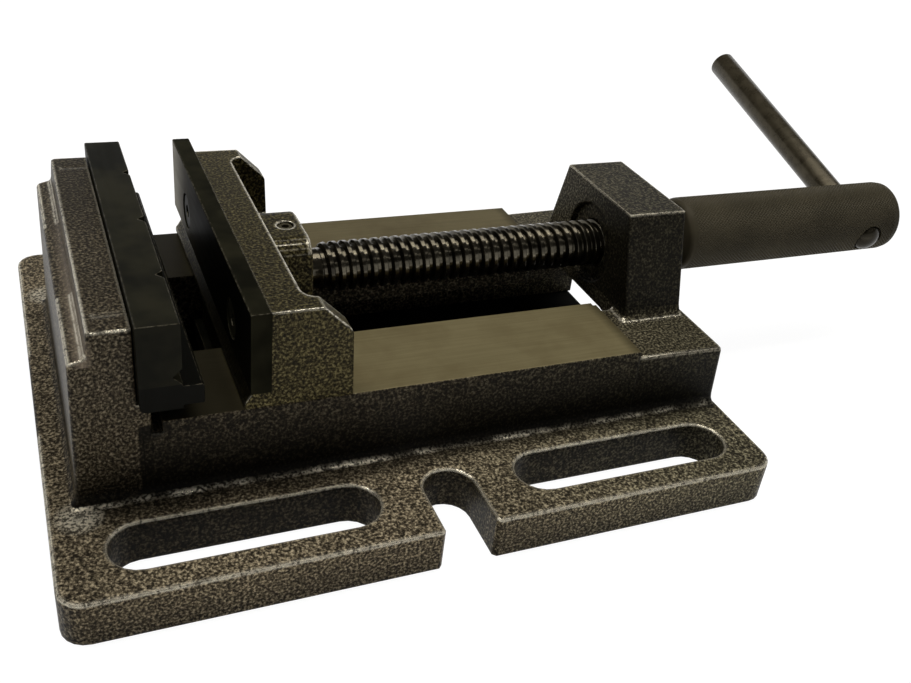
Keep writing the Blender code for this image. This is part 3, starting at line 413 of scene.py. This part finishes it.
def jaw_paint(name):
    """Paint of the moving jaw, with painted shade on the side that faces the block, fading towards
    the far end.
    """
    s = Shader(name)
    grain, rounded = paint_grain(s), s.rounded(PAINT_ROUNDING)
    faces_block = s.below(s.facing_x, -0.6)
    # Painted shade in the gap between the jaws, on the face towards the block
    painted_shade = s.product(faces_block, s.fade(s.y, 10 * MM, 45 * MM, 0.93, 0.15))
    worn = s.product(chipped_edges(s, grain, rounded), s.inverse(painted_shade))
    colour = s.tint(paint_colour(s, grain), JAW_TINT)
    return s.finish(painted(s, grain, rounded, colour, painted_shade, worn), PAINT_SPECULAR)


def base_paint(name):
    """Paint of the base with its painted shade, a painted highlight of bare metal at the bed's
    foot, its worn edges, and the bare ways of the bed.
    """
    s = Shader(name)
    grain, rounded = paint_grain(s), s.rounded(PAINT_ROUNDING)
    from_bed = s.beyond(s.absolute(s.y), BED_HALF)
    on_flange = s.below(s.z, FLANGE_TOP + 0.3 * MM)
    # Painted highlight: bright bare metal laid in the foot's fillet and by the block's corner
    glint_metal = foot_glint(s, grain, from_bed, on_flange)
    # Painted shade, left off where the glint metal is laid
    painted_shade = s.product(base_painted_shade(s, from_bed, on_flange), s.inverse(glint_metal))
    edges = s.product(chipped_edges(s, grain, rounded), s.inverse(painted_shade),
                      s.inverse(spared_edges(s)))
    worn = s.largest(edges, glint_metal)
    colour = base_colour(s, paint_colour(s, grain), on_flange)
    paint = painted(s, grain, rounded, colour, painted_shade, worn)
    return s.finish(s.layered(on_ways(s), paint, ground_metal(s)), PAINT_SPECULAR)


def base_colour(s, colour, on_flange):
    """Paint that cools towards the handle, with painted light on the flange's top and outer sides,
    painted shade on its slot walls and a painted reflection streak on the block's plinth.
    """
    cooling = s.mix(s.fade(s.x, 50 * MM, 140 * MM), (1.0, 1.0, 1.04), (0.88, 0.95, 0.96))
    colour = s.tint(colour, cooling)
    # Painted light: the flange's top is lighter, most towards the fixed jaw
    lit_flange_top = s.product(on_flange, s.above(s.up, 0.8))
    colour = s.tint(colour, s.fade(s.x, 60 * MM, 130 * MM, 1.8, 1.45), where=lit_flange_top)
    # Painted light: the flange's outer sides are lighter, as lit from the floor
    lit_rim = s.product(s.above(s.absolute(s.y), FLANGE_RIM), s.below(s.up, 0.5))
    colour = s.tint(colour, (1.35, 1.33, 1.28), where=lit_rim)
    # Painted shade on the walls of the slots
    shaded_slot_walls = s.product(on_flange, s.below(s.absolute(s.up), 0.5),
                           s.below(s.absolute(s.y), SLOTS_OUTER))
    colour = s.tint(colour, (0.6, 0.6, 0.58), where=shaded_slot_walls)
    # Painted reflection: a pale streak down the block's plinth
    reflection_streak = s.product(s.band(s.x, -19.7 * MM, 2.2 * MM), s.between(s.z, 48.3 * MM, 54.5 * MM),
                       s.ramp(s.y, (-30 * MM, 1.0), (20 * MM, 0.35), (45 * MM, 0.1)))
    return s.mix(s.product(reflection_streak, 0.5), colour, PAINTED_STREAK_REFLECTION)


def foot_glint(s, grain, from_bed, on_flange):
    """Painted highlight: a patchy line of bright bare metal in the fillet at the bed's foot, and a
    spot by the block's corner, that catch the lamps as a glint.
    """
    corner_x, corner_y = BLOCK_CORNER
    fillet = s.product(s.band(from_bed, 2.6 * MM, 1.0 * MM), s.below(s.z, FLANGE_TOP + 2 * MM),
                       s.fade(s.noise(130.0), 0.44, 0.6, 0.12, 1.0), s.above(s.x, corner_x),
                       s.fade(s.x, 10 * MM, 100 * MM, 1.0, 0.45))
    away = s.length(s.math("SUBTRACT", s.x, corner_x),
                    s.math("SUBTRACT", s.absolute(s.y), corner_y))
    corner = s.product(s.fade(away, 0.0, 6 * MM, 1.0, 0.0), on_flange)
    return s.product(s.largest(fillet, corner), s.fade(grain.mottle, 0.45, 0.53, 0.1, 1.0))


def spared_edges(s):
    """1 in the fillet round the bed's foot, on the ways' own edges and in the bracket's bore."""
    inside = s.product(s.below(s.absolute(s.y), BED_HALF + 6.3 * MM), s.above(s.x, BED_START))
    foot = s.product(inside, s.near(s.z, FLANGE_TOP + 2 * MM, 2.4 * MM))
    bore = s.product(s.below(s.absolute(s.y), BORE_HALF), s.below(s.z, BORE_TOP))
    return s.largest(foot, s.near(s.z, WAY_TOP, 1.3 * MM), bore)


def base_painted_shade(s, from_bed, on_flange):
    """Painted shade on the base, each place as dark as the darkest kind that lies there."""
    outside = s.above(s.absolute(s.y), BED_HALF - 0.5 * MM)
    bed_side = s.product(outside, s.below(s.z, WAY_TOP - 0.3 * MM))
    past_block = s.above(s.x, BLOCK_FRONT)
    # Painted shadow along the bed's foot, a painted shade seam by the block, under the fixed jaw,
    # on the block's far top and in the channel
    foot = s.product(foot_painted_shade(s, from_bed, on_flange, past_block), bed_side,
                     s.below(s.x, DECK_END))
    seam_shade = s.product(s.band(s.x, -8.6 * MM, 1.3 * MM), bed_side, s.inverse(on_flange))
    wedge_shade = s.product(s.fade(s.x, -6 * MM, 8 * MM, 0.9, 0.0), s.fade(s.z, 22 * MM, 28 * MM),
                      past_block, bed_side)
    block_top_shade = s.product(s.above(s.z, BLOCK_TOP), s.below(s.x, BLOCK_FRONT),
                          s.fade(s.y, -8 * MM, 16 * MM, 0.0, 0.34))
    channel_shade = s.product(s.below(s.absolute(s.y), CHANNEL_HALF), s.below(s.up, 0.5),
                        s.below(s.z, WAY_TOP), 0.5)
    return s.largest(foot, seam_shade, wedge_shade, block_top_shade, channel_shade, bracket_painted_shade(s))


def foot_painted_shade(s, from_bed, on_flange, past_block):
    """Painted shade and shadow along the bed's foot, fading up its sides and over the flange."""
    reach = s.math("DIVIDE", s.length(from_bed, s.beyond(s.z, FLANGE_TOP)), 20 * MM)
    side_shade = s.blend(past_block, s.ramp(reach, (0.05, 0.9), (0.2, 0.5), (0.5, 0.0)),
                    s.ramp(reach, (0.05, 0.96), (0.35, 0.85), (0.9, 0.55)))
    spread = s.fade(s.x, 30 * MM, 80 * MM, 20 * MM, 12 * MM)
    flange_shadow = s.ramp(s.math("DIVIDE", from_bed, spread),
                    (0.0, 0.85), (0.3, 0.62), (0.5, 0.25), (0.62, 0.0))
    return s.blend(on_flange, side_shade, s.product(flange_shadow, s.fade(s.x, -26 * MM, -20 * MM)))


def bracket_painted_shade(s):
    """Painted shade on the bracket's walls, darkest on the near part of the face towards the jaw.
    """
    on_bracket = s.product(s.above(s.x, BRACKET_START), s.above(s.z, BRACKET_FOOT))
    wall_shade = s.largest(s.fade(s.up, 0.4, 0.7, BRACKET_SHADE, 0.0),
                      s.product(s.above(s.z, BRACKET_TOP), 0.25))
    face = s.ramp(s.y, (-20 * MM, 0.88), (-8 * MM, 0.8), (10 * MM, 0.1))
    return s.product(on_bracket, s.blend(s.below(s.facing_x, -0.6), wall_shade, face))


def on_ways(s):
    """1 on the flat tops of the two ground ways."""
    return s.product(s.near(s.z, WAY_TOP, 0.06 * MM), s.above(s.up, 0.9),
                     s.between(s.x, WAY_START, WAY_END))


def ground_metal(s):
    """Ground metal with streaks along the way and stains, a painted shadow between the jaws, a
    darker far way and painted shade at the ways' end.
    """
    streaks = s.noise(60.0, detail=5.0, roughness=0.65, stretch=(0.6, 22.0, 22.0))
    stains = s.noise(70.0, detail=4.0, roughness=0.6)
    colour = s.ramp(streaks, (0.3, linear(113, 105, 77)), (0.7, linear(128, 119, 89)))
    colour = s.mix(s.fade(stains, 0.42, 0.7, 0.0, 0.45), colour, linear(94, 83, 57))
    # Painted shadow on the ways under and between the jaws
    colour = s.mix(s.fade(s.x, 12 * MM, 34 * MM, 0.85, 0.0), colour, linear(27, 25, 18))
    # The far way is darker
    colour = s.tint(colour, (0.74, 0.73, 0.72), where=s.above(s.y, 0.0))
    # Painted shade: a darker band at the ways' end, by the step down to the deck
    colour = s.mix(s.fade(s.x, 118.4 * MM, 121.2 * MM, 0.0, 0.6), colour, linear(48, 42, 28))
    return Surface(colour, 0.45, 0.3, s.bump(streaks, 0.02 * MM, 0.3))


def black_oxide(name, dark=(19, 19, 13), light=(37, 36, 26), darker_below=None, face_light_and_shade=False):
    """Satin blackened steel with brighter edges; a plate may be nearly black below a height, or
    carry painted light and shade across its face towards the block.
    """
    s = Shader(name)
    grain = s.noise(420.0, detail=4.0, roughness=0.6, stretch=(1.0, 0.12, 1.0))
    cloud = s.noise(60.0, detail=3.0, roughness=0.6)
    colour = s.ramp(cloud, (0.38, linear(*dark)), (0.62, linear(*light)))
    gleam, specular = 0.0, 0.035
    # Painted shade and painted light on the face towards the block: dark at its near end, lighter
    # and more metallic towards its far end, standing in for light and its reflection there
    if face_light_and_shade:
        face, specular = s.below(s.facing_x, -0.9), 0.005
        face_light = s.ramp(s.y, (-5 * MM, linear(7, 7, 5)), (12 * MM, linear(18, 17, 13)),
                        (25 * MM, linear(44, 41, 31)), (36 * MM, linear(84, 78, 63)),
                        (46 * MM, linear(104, 98, 81)))
        colour = s.mix(face, colour, face_light)
        gleam = s.product(face, s.fade(s.y, 30 * MM, 46 * MM, 0.0, 0.5))
    # Nearly black below a height
    if darker_below is not None:
        colour = s.mix(s.product(s.below(s.z, darker_below), 0.95), colour, linear(8, 8, 5))
    chips = s.fade(s.noise(700.0), 0.42, 0.58, 0.1, 1.0)
    edge = s.product(s.upper_edges(s.rounded(0.35 * MM)), chips)
    normal = s.bump(grain, 0.03 * MM, 0.4, s.rounded(0.3 * MM))
    return s.finish(Surface(s.mix(edge, colour, linear(120, 114, 98)), s.scaled(grain, 0.2, 0.36),
                            s.blend(edge, gleam, 0.6), normal), specular)


def oiled_steel(name):
    """Dark steel under a smeared film of oil."""
    s = Shader(name)
    smear = s.noise(220.0, detail=3.0, roughness=0.6)
    colour = s.ramp(smear, (0.3, linear(48, 45, 38)), (0.7, linear(94, 89, 76)))
    normal = s.bump(smear, 0.02 * MM, 0.3, s.rounded(0.25 * MM))
    return s.finish(Surface(colour, s.scaled(smear, 0.12, 0.12), 0.9, normal))


def handle_steel(name):
    """Blackened knurled steel whose outer edges are rubbed brighter."""
    s = Shader(name)
    cloud = s.noise(70.0, detail=3.0, roughness=0.55)
    colour = s.ramp(cloud, (0.3, linear(56, 52, 41)), (0.7, linear(72, 67, 54)))
    edge = s.fade(s.edge_mask(s.rounded(0.3 * MM)), 0.06, 0.3, 0.0, 0.35)
    colour = s.mix(edge, colour, linear(104, 98, 80))
    normal = s.bump(cloud, 0.02 * MM, 0.3)
    return s.finish(Surface(colour, s.scaled(cloud, 0.15, 0.42), 0.1, normal), 0.06)


def bar_steel(name):
    """Drawn steel bar with painted shade on its near stub, and bright where its nose is rubbed."""
    s = Shader(name)
    drawn = s.noise(300.0, detail=4.0, roughness=0.6)
    colour = s.ramp(drawn, (0.3, linear(58, 53, 41)), (0.7, linear(80, 74, 60)))
    # Painted shade on the bar's near half, which darkens its stub
    colour = s.mix(s.product(s.below(s.y, 0.0), 0.7), colour, linear(22, 20, 14))
    edge = s.fade(s.edge_mask(s.rounded(0.5 * MM)), 0.04, 0.2, 0.0, 0.6)
    colour = s.mix(edge, colour, linear(140, 132, 116))
    normal = s.bump(drawn, 0.005 * MM, 0.03)
    return s.finish(Surface(colour, s.scaled(drawn, 0.12, 0.22), 0.45, normal), 0.15)


def zinc(name):
    """Zinc plate with a faint spangle."""
    s = Shader(name)
    spangle = s.noise(350.0, detail=3.0, roughness=0.6)
    colour = s.ramp(spangle, (0.3, linear(150, 148, 142)), (0.7, linear(186, 184, 178)))
    normal = s.bump(spangle, 0.01 * MM, 0.3, s.rounded(0.25 * MM))
    return s.finish(Surface(colour, s.scaled(spangle, 0.2, 0.22), 0.9, normal))


def add_object(name, data):
    """New object in the scene."""
    thing = bpy.data.objects.new(name, data)
    bpy.context.scene.collection.objects.link(thing)
    return thing


def mesh_from(name, work):
    """Mesh of a bmesh, which is freed."""
    mesh = bpy.data.meshes.new(name)
    work.to_mesh(mesh)
    work.free()
    return mesh


def spindle_piece(name, work, material, replaced):
    """New piece that turns with the spindle and stands for one of its solids."""
    bmesh.ops.remove_doubles(work, verts=work.verts, dist=WELD_DISTANCE)
    bmesh.ops.recalc_face_normals(work, faces=work.faces)
    mesh = mesh_from(name, work)
    mesh.materials.append(material)
    mesh.shade_smooth()
    mesh.set_sharp_from_angle(angle=SHARP_ANGLE)
    thing = add_object(name, mesh)
    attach(thing, "spindle")
    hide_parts(replaced)
    return thing


def around(x, radius, angle):
    """Point at an angle round the spindle's axis, counted from +Y towards +Z."""
    return (x, radius * math.cos(angle), AXIS_Z + radius * math.sin(angle))


def join_rings(work, first, second):
    """Faces between two rings of as many points."""
    count = len(first)
    for k in range(count):
        after = (k + 1) % count
        work.faces.new((first[k], first[after], second[after], second[k]))


def thread_line(share_of_turn):
    """(x, radius) of the thread's outline at one angle, level with its root at both ends."""
    line = []
    for turn in range(THREAD_TURNS):
        for place, rise in TOOTH:
            x = THREAD_START + PITCH * (turn - 1 + place + share_of_turn)
            from_ends = min(x - THREAD_START, THREAD_END - x) / THREAD_RUN_OUT
            height = (CREST_RADIUS - ROOT_RADIUS) * rise * min(max(from_ends, 0), 1)
            line.append((min(max(x, THREAD_START), THREAD_END), ROOT_RADIUS + height))
    return line


def threaded_spindle():
    """Grooved journal, trapezoidal right-hand thread and plain shank in one closed mesh."""
    journal = [(JOURNAL_START, 0.0), (JOURNAL_START, JOURNAL_RADIUS - JOURNAL_CHAMFER),
               (JOURNAL_START + JOURNAL_CHAMFER, JOURNAL_RADIUS), (GROOVE_START, JOURNAL_RADIUS),
               (GROOVE_START, GROOVE_RADIUS), (GROOVE_END, GROOVE_RADIUS),
               (GROOVE_END, JOURNAL_RADIUS), (JOURNAL_END, JOURNAL_RADIUS),
               (JOURNAL_END, ROOT_RADIUS), (THREAD_START, ROOT_RADIUS)]
    shank = [(THREAD_END, ROOT_RADIUS), (SHANK_START, ROOT_RADIUS), (SHANK_START, SHANK_RADIUS),
             (SHANK_END, SHANK_RADIUS), (SHANK_END, 0.0)]
    work = bmesh.new()
    columns = []
    for k in range(THREAD_SEGMENTS):
        share = k / THREAD_SEGMENTS
        angle = 2 * math.pi * share
        columns.append([[work.verts.new(around(x, radius, angle)) for x, radius in line]
                        for line in (journal, thread_line(share), shank)])

    def strip(first, second):
        """Faces between two lines, without the corners that coincide."""
        for i in range(len(first) - 1):
            corners = []
            for v in (first[i], first[i + 1], second[i + 1], second[i]):
                if all((v.co - c.co).length > 1e-7 for c in corners):
                    corners.append(v)
            if len(corners) > 2:
                work.faces.new(corners)

    for here, there in zip(columns, columns[1:]):
        for first, second in zip(here, there):
            strip(first, second)
    journals, threads, shanks = zip(columns[-1], columns[0])
    strip(*journals)
    strip(*shanks)
    strip(threads[0][:-len(TOOTH)], threads[1][len(TOOTH):])
    return work


def knurled_barrel():
    """Barrel whose knurled skin is one small pyramid for each diamond."""
    work = bmesh.new()
    skin = BARREL_RADIUS - KNURL_DEPTH

    def ring(x, radii):
        return [work.verts.new(around(x, radius, 2 * math.pi * k / KNURL_COLUMNS))
                for k, radius in enumerate(radii)]

    def rings(*stations):
        return [ring(x, [radius] * KNURL_COLUMNS) for x, radius in stations]

    grid = []
    for row in range(KNURL_ROWS + 1):
        inner = 0 < row < KNURL_ROWS
        radii = [BARREL_RADIUS if inner and (row + column) % 2 == 0 else skin
                 for column in range(KNURL_COLUMNS)]
        grid.append(ring(KNURL_START + row * KNURL_STEP, radii))
    for row in range(KNURL_ROWS):
        for column in range(KNURL_COLUMNS):
            after = (column + 1) % KNURL_COLUMNS
            a, b = grid[row][column], grid[row][after]
            c, d = grid[row + 1][after], grid[row + 1][column]
            halves = ((a, b, c), (a, c, d)) if (row + column) % 2 == 0 else ((a, b, d), (b, c, d))
            for half in halves:
                work.faces.new(half)
    bore = SHANK_RADIUS + BARREL_BORE_CLEARANCE
    start = rings((SHANK_END + BARREL_BORE_CLEARANCE, bore), (BARREL_START, bore),
                  *[(BARREL_START + run, BARREL_RADIUS - depth)
                    for run, depth in BARREL_START_ROUNDING],
                  (KNURL_START - KNURL_RUN_OUT, skin))
    end = rings((KNURL_END + KNURL_RUN_OUT, skin),
                *[(BARREL_END - run, BARREL_RADIUS - depth) for run, depth in BARREL_END_ROUNDING])
    for line in (start + [grid[0]], [grid[-1]] + end):
        for first, second in zip(line, line[1:]):
            join_rings(work, first, second)
    work.faces.new(start[0])
    work.faces.new(end[-1])
    return work


def drill(target, name, start, end, radius):
    """Cuts a round hole and applies it, so the piece needs no hidden cutter."""
    run = end - start
    work = bmesh.new()
    bmesh.ops.create_cone(work, cap_ends=True, segments=64, radius1=radius, radius2=radius,
                          depth=run.length)
    turn = run.to_track_quat("Z", "Y").to_matrix().to_4x4()
    bmesh.ops.transform(work, matrix=Matrix.Translation((start + end) / 2) @ turn, verts=work.verts)
    cutter = add_object(name, mesh_from(name, work))
    change = target.modifiers.new("drilled", "BOOLEAN")
    change.operation = "DIFFERENCE"
    change.solver = "EXACT"
    change.object = cutter
    view = bpy.context.evaluated_depsgraph_get()
    result = bpy.data.meshes.new_from_object(target.evaluated_get(view))
    target.modifiers.clear()
    target.data = result
    bpy.data.objects.remove(cutter, do_unlink=True)


def lathe(profile, start, direction, segments=64):
    """Bmesh of a solid of revolution; the profile is (distance, radius) along the direction."""
    turn = Matrix.Translation(start) @ direction.to_track_quat("Z", "Y").to_matrix().to_4x4()
    work = bmesh.new()
    angles = [2 * math.pi * k / segments for k in range(segments)]
    rings = [[work.verts.new(turn @ Vector((radius * math.cos(a), radius * math.sin(a), distance)))
              for a in angles] for distance, radius in profile]
    for first, second in zip(rings, rings[1:]):
        join_rings(work, first, second)
    work.faces.new(rings[0])
    work.faces.new(rings[-1])
    return work


def bar_profile():
    """(distance, radius) along the tommy bar, from its domed stub to its lightly rounded nose."""
    quarter = [math.pi / 2 * step / BAR_ROUND_STEPS for step in range(BAR_ROUND_STEPS + 1)]

    def station(end, depth, angle):
        return end + depth * (1 - math.cos(angle)), BAR_RADIUS * math.sin(angle) + BAR_TIP_RADIUS

    dome = [station(0.0, BAR_DOME, angle) for angle in quarter]
    nose = [station(BAR_STUB + BAR_REACH, -BAR_NOSE, angle) for angle in reversed(quarter)]
    return dome + nose


def dress(node, material):
    """Gives a solid its material, sharp edges and shading that keeps its flats flat."""
    node.data.materials.clear()
    node.data.materials.append(material)
    node.modifiers.new("weld", "WELD").merge_threshold = WELD_DISTANCE
    node.modifiers.new("split", "EDGE_SPLIT").split_angle = SHARP_ANGLE
    node.modifiers.new("weighted", "WEIGHTED_NORMAL").keep_sharp = True


def near_and_far(*names):
    return [f"{name}_{side}" for name in names for side in ("near", "far")]


def add_camera():
    back = -EYE_FORWARD
    turn = Matrix((EYE_RIGHT, back.cross(EYE_RIGHT), back)).transposed().to_4x4()
    data = bpy.data.cameras.new("camera")
    data.sensor_width = SENSOR_WIDTH
    data.lens = FOCAL_PIXELS / PHOTO_WIDTH * SENSOR_WIDTH
    data.clip_start = 0.01
    data.dof.use_dof = False
    thing = add_object("camera", data)
    thing.matrix_world = Matrix.Translation(EYE) @ turn
    bpy.context.scene.camera = thing


def add_light(name, place, target, size, power, colour):
    data = bpy.data.lights.new(name, "AREA")
    data.shape = "RECTANGLE"
    data.size, data.size_y = size
    data.energy = power
    data.color = colour
    thing = add_object(name, data)
    thing.location = place
    thing.rotation_euler = (Vector(target) - Vector(place)).to_track_quat("-Z", "Y").to_euler()
    thing.visible_camera = False


def add_world(colour, strength):
    world = bpy.data.worlds.new("studio")
    bpy.context.scene.world = world
    world.use_nodes = True
    light = world.node_tree.nodes["Background"]
    light.inputs["Color"].default_value = rgba(colour)
    light.inputs["Strength"].default_value = strength


def floor_white():
    """Bounces soft light by the base, keeps a faint shadow and carries a painted shadow below the
    bed.
    """
    s = Shader("floor_white")
    # Painted shadow: the floor below the bed is dark to the camera and in reflections
    bed_shadow = s.product(s.below(s.absolute(s.y), BED_SHADOW_HALF), s.between(s.x, BED_SHADOW_START, BED_SHADOW_END))
    outside = s.inverse(bed_shadow)
    middle = (BASE_LOW.x + BASE_HIGH.x) / 2
    past_x = s.beyond(s.absolute(s.math("SUBTRACT", s.x, middle)), BASE_HIGH.x - middle)
    away = s.length(past_x, s.beyond(s.absolute(s.y), BASE_HIGH.y))
    bounce = s.node("BsdfDiffuse", Color=s.fade(away, 0.03, 0.16, 0.85, 0.06))
    faint = s.node("BsdfDiffuse", Color=s.scaled(outside, 0.11, 0.012))
    glow = s.node("Emission", Strength=s.product(outside, FLOOR_GLOW))
    return s.by_ray(s.join("AddShader", faint.outputs[0], glow.outputs[0]), bounce)


def backdrop_white():
    """Bright to the camera and in reflections, and dark to diffuse light."""
    s = Shader("backdrop_white")
    return s.by_ray(s.node("Emission", Strength=1.0), s.node("BsdfDiffuse", Color=0.1))


def add_stage(name, verts, faces, material):
    mesh = bpy.data.meshes.new(name)
    mesh.from_pydata(verts, [], faces)
    mesh.materials.append(material)
    add_object(name, mesh)


def add_floor():
    corners = [(-1, -1), (1, -1), (1, 1), (-1, 1)]
    verts = [(x * FLOOR_HALF, y * FLOOR_HALF, FLOOR_Z) for x, y in corners]
    add_stage("floor", verts, [(0, 1, 2, 3)], floor_white())


def add_backdrop():
    """Low round wall about the floor."""
    turns = [2 * math.pi * k / WALL_STEPS for k in range(WALL_STEPS)]
    verts = [(WALL_RADIUS * math.cos(a), WALL_RADIUS * math.sin(a), z)
             for z in (WALL_FOOT, WALL_TOP) for a in turns]
    faces = [(k, after, WALL_STEPS + after, WALL_STEPS + k)
             for k, after in zip(range(WALL_STEPS), [*range(1, WALL_STEPS), 0])]
    add_stage("backdrop", verts, faces, backdrop_white())


PAINT_BASE = base_paint("base_paint_and_ground_ways")
PAINT_JAW = jaw_paint("hammertone_paint")
OXIDE = black_oxide("black_oxide")
FIXED_PLATE = black_oxide("black_oxide_fixed_plate", darker_below=LEDGE_TOP + 0.3 * MM)
MOVING_PLATE = black_oxide("black_oxide_moving_plate", face_light_and_shade=True)
SET_SCREW = black_oxide("worn_oxide", (62, 58, 45), (80, 75, 60))
THREAD_STEEL = oiled_steel("oiled_steel")
HANDLE = handle_steel("blackened_steel")
BAR = bar_steel("bar_steel")
ZINC = zinc("zinc_plate")

NODE_MATERIALS = [
    (PAINT_BASE, ["base_casting"]),
    (PAINT_JAW, ["moving_jaw"]),
    (FIXED_PLATE, ["fixed_jaw_plate"]),
    (MOVING_PLATE, ["moving_jaw_plate"]),
    (OXIDE, near_and_far("fixed_plate_screw", "moving_plate_screw") + ["keeper_plate"]),
    (SET_SCREW, ["spindle_set_screw"]),
    (ZINC, near_and_far("keeper_screw", "keeper_washer") + ["thrust_pad"]),
    (THREAD_STEEL, ["spindle_screw"]),
    (HANDLE, ["handle_barrel"]),
    (BAR, ["tommy_bar"]),
]
for node_material, node_names in NODE_MATERIALS:
    for node_name in node_names:
        dress(NODES[node_name], node_material)

spindle_piece("spindle_thread", threaded_spindle(), THREAD_STEEL, "spindle_screw")
barrel = spindle_piece("knurled_barrel", knurled_barrel(), HANDLE,
                       "handle_barrel")
drill(barrel, "bar_drill", BAR_MIDDLE - BAR_DIRECTION * DRILL_HALF,
      BAR_MIDDLE + BAR_DIRECTION * DRILL_HALF, DRILL_RADIUS)
bar = lathe(bar_profile(), BAR_MIDDLE - BAR_DIRECTION * BAR_STUB, BAR_DIRECTION)
spindle_piece("polished_bar", bar, BAR, "tommy_bar")

add_camera()
add_world((1.0, 0.98, 0.95), 0.05)
add_floor()
add_backdrop()
add_light("overhead", place=(0.15, 0.20, 1.0), target=(0.15, 0.20, 0.0), size=(1.9, 0.42),
          power=9.3, colour=(1.0, 0.965, 0.9))
add_light("strip", place=(0.08, -0.03, 0.95), target=(0.08, -0.03, 0.0), size=(1.2, 0.03),
          power=2.0, colour=(1.0, 0.97, 0.92))
add_light("edge_glint", place=(0.43, -0.66, 0.78), target=(0.05, -0.05, 0.02), size=(1.0, 0.03),
          power=0.35, colour=(1.0, 0.98, 0.94))
add_light("front_bounce", place=(0.06, -0.15, 0.002), target=(0.06, -0.15, 1.0), size=(0.45, 0.12),
          power=0.19, colour=(1.0, 0.96, 0.9))

bpy.context.scene.view_settings.view_transform = "Standard"
